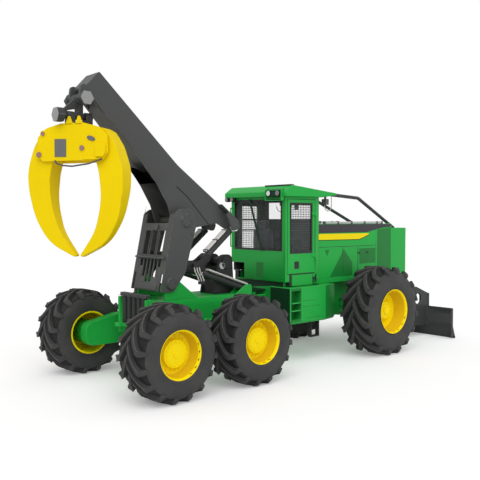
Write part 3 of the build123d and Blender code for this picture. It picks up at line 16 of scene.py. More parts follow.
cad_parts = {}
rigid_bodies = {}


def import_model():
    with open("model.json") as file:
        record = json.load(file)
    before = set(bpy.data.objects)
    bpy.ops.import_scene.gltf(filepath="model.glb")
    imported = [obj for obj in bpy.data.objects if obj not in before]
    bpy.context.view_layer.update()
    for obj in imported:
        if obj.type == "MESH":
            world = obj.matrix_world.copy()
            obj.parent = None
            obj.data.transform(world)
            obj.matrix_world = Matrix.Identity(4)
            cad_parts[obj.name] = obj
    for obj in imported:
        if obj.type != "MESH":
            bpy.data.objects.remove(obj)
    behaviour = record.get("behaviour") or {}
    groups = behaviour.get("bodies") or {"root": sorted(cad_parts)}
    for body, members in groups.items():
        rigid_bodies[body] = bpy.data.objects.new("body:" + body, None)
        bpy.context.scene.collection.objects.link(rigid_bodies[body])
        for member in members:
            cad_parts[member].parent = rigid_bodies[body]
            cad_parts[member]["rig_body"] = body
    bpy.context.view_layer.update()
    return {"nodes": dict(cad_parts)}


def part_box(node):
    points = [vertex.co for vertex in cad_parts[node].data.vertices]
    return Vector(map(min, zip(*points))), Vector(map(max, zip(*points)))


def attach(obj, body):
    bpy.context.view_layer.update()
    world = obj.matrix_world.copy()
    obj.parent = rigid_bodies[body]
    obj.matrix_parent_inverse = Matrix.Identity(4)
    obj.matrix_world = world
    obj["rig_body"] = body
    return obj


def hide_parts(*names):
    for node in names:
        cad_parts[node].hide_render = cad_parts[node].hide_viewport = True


bl_info = {
    "name": "Grapple skidder",
    "version": (1, 0, 0),
    "blender": (4, 5, 0),
    "location": "3D View > Sidebar > Skidder",
    "description": "Builds the dressed grapple skidder round its packed frame",
    "category": "Object",
}

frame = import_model()
NODES = frame["nodes"]
SIDES = {"right": -1, "left": 1}
# the softened edges' mark: wear on paint, a painted highlight on rubber
EDGE_LAYER = "worn_and_highlit_edge"
FRONT = "front_frame"  # the body that most pieces ride

# ---- Places that several pieces share
CAB_REAR_X, CAB_FRONT_X, CAB_HALF = -0.28, 0.69, 0.8
CAB_FLOOR, CAB_TOP = 1.6, 3.27
REAR_WINDOW_HALF, WINDOW_BOTTOM, WINDOW_TOP = 0.705, 2.2, 3.225
SCREEN_HALF, SCREEN_BOTTOM = 0.69, 2.79
DOOR_PANE_X, DOOR_PANE_Z = (-0.154, 0.499), (2.15, 3.154)
SILL_BOX_X = (-0.107, 0.479)  # the box under each door
CUT_CORNER = (-0.03, 0.39, 1.935)  # the cab's cut-away corner: behind x, left of y, below z
GUARD_BARS = (2.6, 2.82)  # heights of the door guards' wide bars
GUARD_BAR = 3.2  # a wide bar's radius over a wire's
ROOF_REAR_X = -0.38
RIDGE_X, RIDGE_Z = -0.185, 3.495  # the roof's highest line
HOOD_REAR_X, HOOD_HALF, HOOD_TOP = 0.7, 0.7, 2.73
HOOD_RAIL_Y = 0.655
BOX_HALF = 0.98
POCKET_X, POCKET_Z = (-0.3, -0.02), (0.86, 1.46)  # the steps' pockets in the side boxes
BLADE_X, BLADE_HALF = 4.84, 1.45
PANEL_FOOT, PANEL_LEAN = (-2.975, 1.58), 0.212  # foot and slope of the arch's rear face
ARCH_FRONT_X = -2.4  # ahead of this the arch is only plates for the cylinders' pins
ARCH_PIPES_Y = 0.492
BOOM_HALF = 0.29
RAM_Y = 0.362  # middle plane of the arch's and the boom's cylinders
SWING_X = -4.24  # where the grapple hangs
GRAPPLE_YAW = radians(-58)
FACE_DEPTH = 0.23  # outer face of the grapple head's plates, off the tongs' plane
GROUND = 0.001  # the lowest lugs stand flat just above it
SHARP = radians(38)  # edges sharper than this are softened

# Bright pipes along a barrel: the (x, z) of their ends on its middle line, their rise over that line,
# and how far they then lean outwards and sink
BARREL_PIPES = {
    "arch": ((-0.99, 1.52), (-1.94, 1.84), 0.092, 0.05, 0.014),
    "boom": ((-1.87, 2.179), (-1.39, 2.568), 0.088, 0.0, 0.0),
}

WheelSize = namedtuple(
    "WheelSize",
    "radius section_half shoulder_half tread_half lug_height rim_half bed lip disc_out hub_face"
    " hub_back hub_radius",
)
FRONT_WHEEL = WheelSize(
    0.915, 0.385, 0.372, 0.315, 0.072, 0.373, 0.436, 0.461, 0.07, 0.15, 0.01, 0.19
)
REAR_WHEEL = WheelSize(
    0.76, 0.38, 0.362, 0.281, 0.064, 0.351, 0.368, 0.391, 0.12, 0.211, 0.06, 0.225
)
RIM_STEPS = 72
# outline of a tyre's side: share of its half width, share of the way from the rim's lip to the tread
SIDEWALL = (
    (0.925, 0.0), (0.95, 0.05), (0.982, 0.19), (1.0, 0.42), (0.992, 0.6), (0.962, 0.76),
    (0.915, 0.88), (0.84, 0.96), (0.56, 1.0), (0.0, 1.008),
)
MOULD_RINGS = (0.16, 0.3)  # share of the way from the lip to the tread
LUGS = 16  # in each of a tyre's two rows
LUG_PITCH = tau / LUGS
LUG_SWEEP = radians(26)  # a lug's inner end runs ahead of its outer end
LUG_CURVE = 1.6
LUG_PHASE = 0.134  # the first lug's turn from straight down, in pitches
LUG_ROOT = 0.01  # how deep a lug's foot stands in the carcass
LUG_BEVEL = 0.007
# places along a lug: 0 at the tread's middle, 1 at its edge, then down the side
LUG_PLACES = (-0.05, 0.06, 0.17, 0.29, 0.42, 0.57, 0.74, 0.9, 1.0, 1.2, 1.45, 1.75, 2.0)
# half widths of a lug's top and foot, in pitches
LUG_HALVES = (
    (-0.05, 0.15, 0.25), (0.06, 0.186, 0.25), (0.45, 0.175, 0.234), (1.0, 0.138, 0.184),
    (2.0, 0.128, 0.17),
)
# a lug's end below the tread's edge: place, top and foot as (share of the shoulder, drop)
LUG_END = (
    (1.0, (0.0, 0.002), (0.0, 0.08)), (1.2, (0.5, 0.016), (0.1, 0.088)),
    (1.45, (0.92, 0.048), (0.25, 0.1)), (1.75, (1.12, 0.092), (0.4, 0.116)),
    (2.0, (1.1, 0.118), (0.5, 0.14)),
)


# ==== Sizes and colours that a user would change
def colour(label, text, value):
    return FloatVectorProperty(
        name=label, description=text, default=value, subtype="COLOR", size=3, min=0, max=1
    )


def length(label, text, value):
    return FloatProperty(name=label, description=text, default=value, unit="LENGTH")


class SkidderColours(PropertyGroup):
    """Colours of the skidder's finishes"""

    green: colour("Green", "Paint of chassis, cab and hood", (0.014, 0.4, 0.058))
    yellow: colour("Yellow", "Paint of rims, stripe and grapple", (1.0, 0.78, 0.001))
    boom_grey: colour("Boom grey", "Paint of boom and arch", (0.072, 0.075, 0.074))
    blade_grey: colour("Blade grey", "Paint of blade and cylinders", (0.045, 0.048, 0.047))
    rubber: colour("Rubber", "Tyres", (0.042, 0.042, 0.043))
    steel: colour("Steel", "Pipes, bolts and bare caps", (0.46, 0.455, 0.445))
    cloth: colour("Cloth", "Seat cover", (0.035, 0.035, 0.04))
    floor: colour("Floor", "Studio floor", (0.88, 0.88, 0.88))


class SkidderSizes(PropertyGroup):
    """Sizes of the skidder's trim"""

    edge_radius: length("Edge", "Width of the softened edges of plates", 0.007)
    wire_radius: length("Guard wire", "Radius of the window guards' wires", 0.0046)
    wire_pitch: length("Guard pitch", "Distance between the window guards' wires", 0.046)
    bolt_radius: length("Bolt", "Radius of the arch's bolt heads, across their corners", 0.013)
    carcass_steps: IntProperty(
        name="Tyre steps", description="Steps round a tyre", default=96, min=24, max=192
    )
    key_light: FloatProperty(name="Key light", description="Strength of the soft key lamp", default=1.35)
    sky_light: FloatProperty(name="Sky light", description="Strength of the light all round", default=0.62)


def colours():
    return bpy.context.scene.skidder_colours


def sizes():
    return bpy.context.scene.skidder_sizes


# ==== Shader groups
FLOAT, COLOUR, VECTOR = "NodeSocketFloat", "NodeSocketColor", "NodeSocketVector"


def fill(tree, made, inputs):
    """Sets a node's inputs; one that is given a socket is linked to it."""
    for key, value in inputs.items():
        if isinstance(value, bpy.types.NodeSocket):
            tree.links.new(value, made.inputs[key])
        else:
            made.inputs[key].default_value = value


def add(tree, kind, inputs=None, **settings):
    """A node with its settings and inputs."""
    made = tree.nodes.new(kind)
    for key, value in settings.items():
        setattr(made, key, value)
    fill(tree, made, inputs or {})
    return made


def new_group(name, *inputs):
    """A shader group that takes a place and the given sockets, and gives a finish's three parts."""
    tree = bpy.data.node_groups.new(name, "ShaderNodeTree")
    tree.interface.new_socket(name="Vector", in_out="INPUT", socket_type=VECTOR)
    for label, kind, value in inputs:
        tree.interface.new_socket(name=label, in_out="INPUT", socket_type=kind).default_value = value
    for label, kind in (("Color", COLOUR), ("Roughness", FLOAT), ("Height", FLOAT)):
        tree.interface.new_socket(name=label, in_out="OUTPUT", socket_type=kind)
    return tree, tree.nodes.new("NodeGroupInput").outputs, tree.nodes.new("NodeGroupOutput")


def mix(tree, factor, first, second):
    """A colour between two, by a factor."""
    return add(tree, "ShaderNodeMix", {0: factor, 6: first, 7: second}, data_type="RGBA").outputs[2]


def maths(tree, operation, first, second=0.0, clamp=False):
    return add(tree, "ShaderNodeMath", {0: first, 1: second}, operation=operation, use_clamp=clamp).outputs[0]


def plus(tree, first, second, clamp=False):
    return maths(tree, "ADD", first, second, clamp)


def times(tree, first, second, clamp=False):
    return maths(tree, "MULTIPLY", first, second, clamp)


def noise(tree, vector, scale, detail=3.0, roughness=0.55):
    inputs = {"Vector": vector, "Scale": scale, "Detail": detail, "Roughness": roughness}
    return add(tree, "ShaderNodeTexNoise", inputs).outputs["Fac"]


def ramp(tree, value, low, high):
    """A value stretched so that low becomes 0 and high becomes 1."""
    inputs = {"Value": value, "From Min": low, "From Max": high, "To Min": 0.0, "To Max": 1.0}
    return add(tree, "ShaderNodeMapRange", inputs, clamp=True).outputs["Result"]


def brightened(tree, base, value):
    """A colour with its brightness times a value."""
    return add(tree, "ShaderNodeHueSaturation", {"Color": base, "Value": value}).outputs["Color"]


def worn_and_highlit_edges(tree):
    """The mark on the softened edges' faces: worn paint on plates, a painted highlight on the tyres' lugs."""
    return add(tree, "ShaderNodeAttribute", attribute_name=EDGE_LAYER).outputs["Fac"]


def paint_group():
    """Sprayed paint: soft tone changes, dust on what faces up, and bare spots along worn edges."""
    tree, given, out = new_group(
        "sprayed_paint",
        ("Paint", COLOUR, (0.5, 0.5, 0.5, 1)), ("Bare", COLOUR, (0.2, 0.2, 0.2, 1)),
        ("Dust", COLOUR, (0.3, 0.28, 0.24, 1)), ("Wear", FLOAT, 0.5), ("Dust Amount", FLOAT, 0.1),
        ("Roughness", FLOAT, 0.35),
    )
    place = given["Vector"]
    broad = noise(tree, place, 1.1, 2.0)
    fine = noise(tree, place, 38.0, 4.0, 0.65)
    peel = noise(tree, place, 240.0, 2.0)
    tone = brightened(tree, given["Paint"], plus(tree, times(tree, broad, 0.14), 0.93))
    facing = add(tree, "ShaderNodeSeparateXYZ", {0: add(tree, "ShaderNodeNewGeometry").outputs["Normal"]})
    settled = times(tree, ramp(tree, facing.outputs["Z"], 0.35, 1.0), ramp(tree, fine, 0.35, 0.75))
    dusty = mix(tree, times(tree, settled, given["Dust Amount"]), tone, given["Dust"])
    chip = times(tree, worn_and_highlit_edges(tree), ramp(tree, noise(tree, place, 9.0, 6.0, 0.7), 0.52, 0.6))
    worn = times(tree, chip, given["Wear"], clamp=True)
    rough = plus(tree, given["Roughness"], times(tree, fine, 0.1))
    fill(tree, out, {
        "Color": mix(tree, worn, dusty, given["Bare"]),
        "Roughness": plus(tree, rough, times(tree, settled, 0.12), clamp=True),
        "Height": plus(tree, times(tree, peel, 0.35), worn),
    })


def rubber_group():
    """Moulded rubber: a fine skin, edges lightened as a painted highlight, and dust in cloudy patches."""
    tree, given, out = new_group(
        "moulded_rubber",
        ("Rubber", COLOUR, (0.04, 0.04, 0.04, 1)), ("Dust", COLOUR, (0.1, 0.095, 0.09, 1)),
        ("Dust Amount", FLOAT, 0.3),
    )
    cloudy = noise(tree, given["Vector"], 3.2, 4.0)
    dusty = times(tree, ramp(tree, cloudy, 0.42, 0.72), given["Dust Amount"])
    # painted highlight: the lugs' softened edges lightened towards the dust colour
    highlit_edges = mix(tree, times(tree, worn_and_highlit_edges(tree), 0.8), given["Rubber"], given["Dust"])
    fill(tree, out, {
        "Color": mix(tree, dusty, highlit_edges, given["Dust"]),
        "Roughness": plus(tree, times(tree, cloudy, 0.15), 0.62),
        "Height": noise(tree, given["Vector"], 160.0, 3.0),
    })


def metal_group():
    """Drawn or turned steel: fine lines and slight staining."""
    tree, given, out = new_group(
        "drawn_steel",
        ("Steel", COLOUR, (0.5, 0.5, 0.5, 1)), ("Stain", COLOUR, (0.25, 0.22, 0.19, 1)),
        ("Stain Amount", FLOAT, 0.3), ("Roughness", FLOAT, 0.3),
    )
    lines = noise(tree, given["Vector"], 120.0, 2.0)
    patches = ramp(tree, noise(tree, given["Vector"], 7.0, 5.0), 0.48, 0.7)
    stain = times(tree, patches, given["Stain Amount"])
    rough = plus(tree, given["Roughness"], times(tree, lines, 0.12))
    fill(tree, out, {
        "Color": mix(tree, stain, given["Steel"], given["Stain"]),
        "Roughness": plus(tree, rough, times(tree, stain, 0.3), clamp=True),
        "Height": lines,
    })


def grain_group():
    """Moulded plastic or cloth: a small grain, with crossing threads when Weave is raised."""
    tree, given, out = new_group(
        "grain",
        ("Base", COLOUR, (0.03, 0.03, 0.03, 1)), ("Weave", FLOAT, 0.0), ("Scale", FLOAT, 200.0),
        ("Roughness", FLOAT, 0.6),
    )
    inputs = {"Vector": given["Vector"], "Scale": given["Scale"], "Distortion": 0.4}
    grain = noise(tree, given["Vector"], given["Scale"], 2.0)
    along, across = (
        add(tree, "ShaderNodeTexWave", inputs, bands_direction=way).outputs["Fac"] for way in "XZ"
    )
    woven = times(tree, times(tree, along, across), given["Weave"])
    height = plus(tree, grain, woven)
    fill(tree, out, {
        "Color": brightened(tree, given["Base"], plus(tree, times(tree, height, 0.3), 0.82)),
        "Roughness": plus(tree, given["Roughness"], times(tree, grain, 0.1)),
        "Height": height,
    })


# ==== Finishes
FINISHES = {}  # a finish's name: its material and its slot in the record


def opaque(value):
    """A colour as four numbers."""
    return (*value, 1.0)


def new_material(name, slot):
    """A material that is kept under its finish's name, and its shader."""
    made = bpy.data.materials.new(f"{name}_finish")
    made.use_nodes = True
    FINISHES[name] = made, slot
    return made.node_tree, made.node_tree.nodes["Principled BSDF"]


def finish_of(
    name, slot, group, values, bump=0.0, bump_distance=0.001, metallic=0.0, specular=0.4, sheen=0.0
):
    """A material whose shader takes colour, roughness and bump from a shared group."""
    tree, shader = new_material(name, slot)
    place = add(tree, "ShaderNodeMapping", {"Vector": add(tree, "ShaderNodeTexCoord").outputs["Object"]})
    source = add(tree, "ShaderNodeGroup", node_tree=bpy.data.node_groups[group])
    fill(tree, source, {"Vector": place.outputs[0], **values})
    if bump:
        inputs = {"Height": source.outputs["Height"], "Strength": bump, "Distance": bump_distance}
        fill(tree, shader, {"Normal": add(tree, "ShaderNodeBump", inputs).outputs[0]})
    fill(tree, shader, {
        "Base Color": source.outputs["Color"], "Roughness": source.outputs["Roughness"],
        "Metallic": metallic, "Specular IOR Level": specular, "Sheen Weight": sheen,
    })
    return shader


def paint(
    name, slot, value, wear=0.5, dust=0.04, roughness=0.36, bare=(0.16, 0.155, 0.15), specular=0.22
):
    values = {
        "Paint": opaque(value), "Bare": opaque(bare), "Wear": wear, "Dust Amount": dust,
        "Roughness": roughness,
    }
    finish_of(name, slot, "sprayed_paint", values, bump=0.1, bump_distance=0.0008, specular=specular)


def grained(name, slot, base, scale, roughness, bump=0.3, weave=0.0, **settings):
    values = {"Base": opaque(base), "Scale": scale, "Weave": weave, "Roughness": roughness}
    return finish_of(name, slot, "grain", values, bump=bump, **settings)


def metal(name, slot, value, roughness, metallic, stain=0.3, bump=0.0):
    values = {"Steel": opaque(value), "Roughness": roughness, "Stain Amount": stain}
    finish_of(name, slot, "drawn_steel", values, bump=bump, metallic=metallic)


def glass(name, slot, tint, alpha):
    """Clear glass, seen through by its alpha, with gloss from the lamps."""
    tree, shader = new_material(name, slot)
    smear = noise(tree, add(tree, "ShaderNodeTexCoord").outputs["Object"], 5.0)
    fill(tree, shader, {
        "Base Color": opaque(tint), "Alpha": alpha, "Specular IOR Level": 0.5,
        "Roughness": plus(tree, times(tree, smear, 0.06), 0.02),
    })


def lamp_lens(name, tint, strength):
    """A lamp's lens: ribbed glass with a faint glow of its reflector."""
    shader = grained(
        name, "clear_glass", tint, 60.0, 0.12, bump=0.4, weave=0.6, bump_distance=0.002, specular=0.6
    )
    shader.inputs["Emission Color"].default_value = opaque(tint)
    shader.inputs["Emission Strength"].default_value = strength


def make_finishes():
    for build in (paint_group, rubber_group, metal_group, grain_group):
        build()
    c = colours()
    paint("green", "green_paint", c.green, wear=0.35, dust=0.05)
    # painted shade: a darker green for shaded hood panels, the rear panel's fold, the steps' pockets and the
    # boxes' turned-in ends; also for the boxes' seams
    paint("deep_green", "green_paint", (0.008, 0.2, 0.03), wear=0.2, dust=0.0)
    # painted highlight: a lighter green for bright edge strips
    paint("light_green", "green_paint", (0.05, 0.56, 0.13), wear=0.0, dust=0.0, roughness=0.3)
    # painted shade: a near-black green under the cab, on the boxes' rear ends, in the rear lamp box and below
    # the sill boxes; also for seams and the rear window strut
    paint("dark_green", "green_paint", (0.002, 0.034, 0.011), wear=0.2, dust=0.0, roughness=0.45)
    paint(
        "yellow", "yellow_paint", c.yellow, wear=0.25, dust=0.0, bare=(0.45, 0.3, 0.02), specular=0.12
    )
    # painted shade: a darker yellow for the inside of the rims' barrels
    paint("barrel_shade_yellow", "yellow_paint", (0.75, 0.51, 0.01), wear=0.1, dust=0.0, specular=0.12)
    paint(
        "grapple_yellow", "yellow_paint", (0.9, 0.66, 0.001), wear=0.35, dust=0.0, roughness=0.45,
        bare=(0.35, 0.26, 0.03), specular=0.08,
    )
    paint("boom_grey", "grey_paint", c.boom_grey, roughness=0.42, bare=(0.2, 0.195, 0.19))
    paint("pale_grey", "grey_paint", (0.52, 0.52, 0.52), wear=0.1, dust=0.0, roughness=0.4)
    paint("lamp_grey", "grey_paint", (0.15, 0.15, 0.152), wear=0.1, dust=0.0)
    paint("horn_black", "grey_paint", (0.022, 0.022, 0.023), wear=0.0, dust=0.0)
    paint("band_grey", "grey_paint", (0.052, 0.048, 0.056), wear=0.3, roughness=0.5)
    paint("blade_grey", "dark_steel", c.blade_grey, wear=0.7, roughness=0.46, bare=(0.22, 0.21, 0.2))
    paint("cap_grey", "dark_steel", (0.3, 0.305, 0.3), dust=0.0, bare=(0.1, 0.1, 0.1))
    paint("pinkish", "iron", (0.33, 0.19, 0.17), wear=0.3, dust=0.0)
    paint("wire", "iron", (0.055, 0.058, 0.058), wear=0.0, dust=0.0, roughness=0.4)
    grained("cabin_grey", "black_plastic", (0.06, 0.062, 0.062), 220.0, 0.6, specular=0.25)
    grained("black", "black_plastic", (0.018, 0.018, 0.019), 260.0, 0.45, specular=0.35)
    grained("cloth", "seat_fabric", c.cloth, 190.0, 0.75, bump=0.6, weave=1.0, specular=0.2, sheen=0.3)
    finish_of(
        "rubber", "tyre_rubber", "moulded_rubber", {"Rubber": opaque(c.rubber)}, bump=0.25, specular=0.3
    )
    # painted shade: darker rubber between the lugs and where tyre meets rim
    finish_of(
        "tread_gap", "tyre_rubber", "moulded_rubber",
        {"Rubber": (0.016, 0.016, 0.017, 1), "Dust Amount": 0.15}, bump=0.25, specular=0.2,
    )
    metal("iron", "iron", (0.085, 0.085, 0.085), 0.45, 0.5, bump=0.3)
    metal("steel", "iron", c.steel, 0.3, 0.7)
    metal("pale_steel", "iron", (0.62, 0.6, 0.58), 0.35, 0.2, stain=0.1)
    metal("chrome", "chromed_rod", (0.72, 0.72, 0.73), 0.12, 1.0, stain=0.05)
    glass("glass", "clear_glass", (0.3, 0.36, 0.34), 0.06)
    lamp_lens("lens", (0.62, 0.64, 0.64), 0.25)
    lamp_lens("dim_lens", (0.2, 0.19, 0.2), 0.05)


# ==== Mesh tools
def block(bm, x, y, z):
    """A block between two limits each way."""
    limits = [sorted(pair) for pair in (x, y, z)]
    middle = Vector([(low + high) / 2 for low, high in limits])
    size = Vector([high - low for low, high in limits])
    bmesh.ops.create_cube(bm, size=1, matrix=Matrix.LocRotScale(middle, None, size))


def rod(bm, start, end, radius, sides=20, end_radius=None):
    """A round, or with few sides a prismatic, bar between two points."""
    start, end = Vector(start), Vector(end)
    axis = end - start
    turn = axis.to_track_quat("Z", "Y").to_matrix().to_4x4()
    bmesh.ops.create_cone(
        bm, cap_ends=True, segments=sides, radius1=radius, radius2=end_radius or radius,
        depth=axis.length, matrix=Matrix.Translation((start + end) / 2) @ turn,
    )


def piping(bm, points, radius, sides):
    """Straight lengths of pipe from point to point."""
    for start, end in zip(points, points[1:]):
        rod(bm, start, end, radius, sides)


def join(bm, part):
    """Adds one bmesh to another and frees it."""
    carrier = bpy.data.meshes.new("carrier")
    part.to_mesh(carrier)
    part.free()
    bm.from_mesh(carrier)
    bpy.data.meshes.remove(carrier)


def on_side(u, v, depth):
    """A point with along, up and distance off the midplane."""
    return Vector((u, depth, v))


def on_end(u, v, depth):
    """A point with across, up and distance along the machine."""
    return Vector((depth, u, v))


def on_grapple(u, v, depth):
    """A point with across, up and distance off the tongs' plane."""
    across = Vector((cos(GRAPPLE_YAW), sin(GRAPPLE_YAW), 0))
    off = Vector((-sin(GRAPPLE_YAW), cos(GRAPPLE_YAW), 0))
    return Vector((SWING_X, 0, v)) + across * u + off * depth


def plate(bm, outline, low, high, place=on_side):
    """A plate with a flat outline, between two depths."""
    face = bm.faces.new([bm.verts.new(place(u, v, low)) for u, v in outline])
    grown = bmesh.ops.extrude_face_region(bm, geom=[face])["geom"]
    verts = [item for item in grown if isinstance(item, bmesh.types.BMVert)]
    bmesh.ops.translate(bm, verts=verts, vec=place(0, 0, high) - place(0, 0, low))


def rect(u, v):
    """The outline between two limits each way."""
    return [(u[0], v[0]), (u[1], v[0]), (u[1], v[1]), (u[0], v[1])]


def bolt_ring(bm, centre, reach, count, sign, radius, height=0.012, start=0.0):
    """Hexagonal bolt heads round a pin that lies across the machine, standing off one side."""
    out = Vector((0, sign, 0))
    for i in range(count):
        turn = start + tau * i / count
        foot = Vector(centre) + Vector((reach * cos(turn), 0, reach * sin(turn)))
        rod(bm, foot - out * 0.002, foot + out * height, radius, 6)


def bevel(bm, edges, width, **settings):
    """Rounds edges by one small face each, and marks those faces as worn edges; on rubber the mark is a
    painted highlight.
    """
    layer = bm.faces.layers.float.get(EDGE_LAYER) or bm.faces.layers.float.new(EDGE_LAYER)
    made = bmesh.ops.bevel(
        bm, geom=edges, offset=width, offset_type="OFFSET", segments=1, profile=0.5, affect="EDGES",
        **settings,
    )
    for face in made["faces"]:
        face[layer] = 1.0


def linked(name, data):
    """An object in the scene that holds some data."""
    made = bpy.data.objects.new(name, data)
    bpy.context.scene.collection.objects.link(made)
    return made


def finished(bm, name, finishes, width=0.0, body=FRONT, smooth=32):
    """A piece from a bmesh: doubles merged, edges softened, normals outwards, finish and body given."""
    finishes = [finishes] if isinstance(finishes, str) else finishes
    bmesh.ops.remove_doubles(bm, verts=bm.verts, dist=1e-5)
    bmesh.ops.recalc_face_normals(bm, faces=bm.faces)
    if width:
        sharp = [e for e in bm.edges if len(e.link_faces) == 2 and e.calc_face_angle(0) > SHARP]
        bevel(bm, sharp, width, clamp_overlap=False, material=-1)
    mesh = bpy.data.meshes.new(name)
    bm.to_mesh(mesh)
    bm.free()
    for finish in finishes:
        mesh.materials.append(FINISHES[finish][0])
    mesh.shade_smooth()
    mesh.set_sharp_from_angle(angle=radians(smooth))
    piece = linked(name, mesh)
    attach(piece, body)
    return piece


def on_both_sides(name, finish, face, rows, width=0.0, body=FRONT, pins=()):
    """A piece made of plates on both sides of the machine.

    face is a side's distance off the midplane. A row is an outline, and how far off the face it starts and
    ends; a pin is its middle, its length off the face, its radius and its sides.
    """
    bm = bmesh.new()
    for sign in SIDES.values():
        for outline, inner, outer in rows:
            plate(bm, outline, sign * (face + inner), sign * (face + outer))
        for (x, z), reach, radius, sides in pins:
            rod(bm, (x, sign * face, z), (x, sign * (face + reach), z), radius, sides)
    return finished(bm, name, finish, width, body)


def raised(height, *outlines):
    """Rows for on_both_sides: outlines that stand off the face by one height."""
    return [(outline, 0.0, height) for outline in outlines]


def of_blocks(name, finish, rows, width=0.0):
    """A piece made of blocks, each with its limits each way."""
    bm = bmesh.new()
    for limits in rows:
        block(bm, *limits)
    return finished(bm, name, finish, width)


def body_of(node):
    return NODES[node]["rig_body"]


def merged_copy(node, split):
    """A bmesh of a CAD node, doubles merged and flat faces joined; split cuts the large ones up."""
    bm = bmesh.new()
    bm.from_mesh(NODES[node].data)
    bmesh.ops.remove_doubles(bm, verts=bm.verts, dist=1e-5)
    bmesh.ops.dissolve_limit(bm, angle_limit=radians(0.6), verts=bm.verts, edges=bm.edges)
    if split:
        large = [f for f in bm.faces if len(f.verts) > 4]
        bmesh.ops.triangulate(bm, faces=large, ngon_method="BEAUTY")
    for face in bm.faces:
        face.material_index = 0
    return bm


def dress(node, *finishes, width=None, inner=None, split=False):
    """A softened copy of a CAD node in its place; inner(face) gives the number of a face's finish."""
    bm = merged_copy(node, split)
    if inner:
        for face in bm.faces:
            face.material_index = int(inner(face))
    width = sizes().edge_radius if width is None else width
    piece = finished(bm, f"{node}_shape", list(finishes), width, body_of(node))
    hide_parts(node)


def give(node, finish):
    """A better material for a CAD node that keeps its shape."""
    material, slot = FINISHES[finish]
    slots = NODES[node].data.materials
    for index in range(len(slots)):
        slots[index] = material


# ==== Wheels
def wheel_centre(node):
    low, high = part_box(node)
    return (low + high) / 2


def between(rows, place):
    """Values of a table's rows at a place, each row starting with its own place."""
    for low, high in zip(rows, rows[1:]):
        if place <= high[0]:
            share = max(0.0, (place - low[0]) / (high[0] - low[0]))
            return [a + (b - a) * share for a, b in zip(low[1:], high[1:])]
    return list(rows[-1][1:])


def lug_point(size, place, across, top, start):
    """A place on a lug, across from one flank (-1) to the other (1): angle, off the middle, radius."""
    halves = between(LUG_HALVES, place)
    lag = LUG_SWEEP * max(0.0, 1 - place) ** LUG_CURVE
    angle = start + lag + LUG_PITCH * across * halves[0 if top else 1]
    if place <= 1:
        sink = 0.0 if top else size.lug_height + LUG_ROOT
        return angle, place * size.tread_half, size.radius - sink
    share, drop = between([(row[0], *row[1 if top else 2]) for row in LUG_END], place)
    shoulder = size.shoulder_half - size.tread_half
    return angle, size.tread_half + shoulder * share, size.radius - drop


def add_lugs(bm, size, centre):
    """Two staggered rows of curved lugs round a tyre."""
    first = pi - LUG_PITCH * LUG_PHASE
    last = len(LUG_PLACES) - 1
    for sign, start in ((1, first), (-1, first + LUG_PITCH / 2)):
        bar = bmesh.new()
        bmesh.ops.create_cube(bar, size=1)
        lengths = [e for e in bar.edges if abs(e.verts[0].co.x - e.verts[1].co.x) > 0.5]
        bmesh.ops.subdivide_edges(bar, edges=lengths, cuts=last - 1, use_grid_fill=True)
        rims = [
            e for e in bar.edges
            if sum(v.co.z for v in e.verts) > 0.9 and abs(sum(v.co.y for v in e.verts)) > 0.9
        ]
        for vert in bar.verts:
            place = LUG_PLACES[round((vert.co.x + 0.5) * last)]
            angle, y, radius = lug_point(size, place, vert.co.y * 2, vert.co.z > 0, start)
            vert.co = Vector((radius * sin(angle), sign * y, radius * cos(angle)))
        # the lugs' top edges take the edge mark, shown as a painted highlight
        bevel(bar, rims, LUG_BEVEL)
        bmesh.ops.spin(
            bar, geom=bar.verts[:] + bar.edges[:] + bar.faces[:], cent=(0, 0, 0), axis=(0, 1, 0),
            angle=tau * (LUGS - 1) / LUGS, steps=LUGS - 1, use_duplicate=True,
        )
        bmesh.ops.translate(bar, verts=bar.verts, vec=centre)
        bmesh.ops.recalc_face_normals(bar, faces=bar.faces)
        join(bm, bar)


def spun(bm, outline, centre, sign, steps, closed=False):
    """An outline of (distance off the middle, radius) turned round the axle through centre."""
    verts = [bm.verts.new(centre + Vector((0, sign * y, r))) for y, r in outline]
    pairs = list(zip(verts, verts[1:])) + ([(verts[-1], verts[0])] if closed else [])
    edges = [bm.edges.new(pair) for pair in pairs]
    bmesh.ops.spin(
        bm, geom=verts + edges, cent=centre, axis=(0, 1, 0), angle=tau, steps=steps, use_merge=True
    )


def tyre_outline(size):
    """The carcass' outline as (distance off the wheel's middle, radius), from one bead to the other."""
    side = size.radius - size.lug_height - size.lip
    half = [(size.section_half * w, size.lip + side * t) for w, t in SIDEWALL]
    bead = (size.rim_half - 0.02, size.bed)
    right = [bead, *half]
    return right + [(-y, r) for y, r in reversed(right[:-1])]


def make_tyre(node, size):
    centre = wheel_centre(node)
    steps = sizes().carcass_steps
    floor = size.radius - size.lug_height
    bm = bmesh.new()
    spun(bm, tyre_outline(size), centre, 1, steps, closed=True)
    for share in MOULD_RINGS:
        r = size.lip + (floor - size.lip) * share
        y = size.section_half * (0.972 + 0.05 * share)
        low, high = y - 0.006, y + 0.002
        ring = [(low, r - 0.007), (high, r - 0.004), (high, r + 0.004), (low, r + 0.007)]
        for sign in SIDES.values():
            spun(bm, ring, centre, sign, steps, closed=True)
    # painted shade: the carcass between the lugs takes the darker rubber
    for face in bm.faces:
        c = face.calc_center_median() - centre
        radius = Vector((c.x, 0, c.z)).length
        face.material_index = int(abs(c.y) < size.shoulder_half * 0.93 and radius > floor - 0.03)
    bm.faces.layers.float.new(EDGE_LAYER)
    add_lugs(bm, size, centre)
    for vert in bm.verts:
        vert.co.z = max(vert.co.z, GROUND)
    piece = finished(bm, f"{node}_lugged", ["rubber", "tread_gap"], body=body_of(node), smooth=34)
    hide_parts(node)


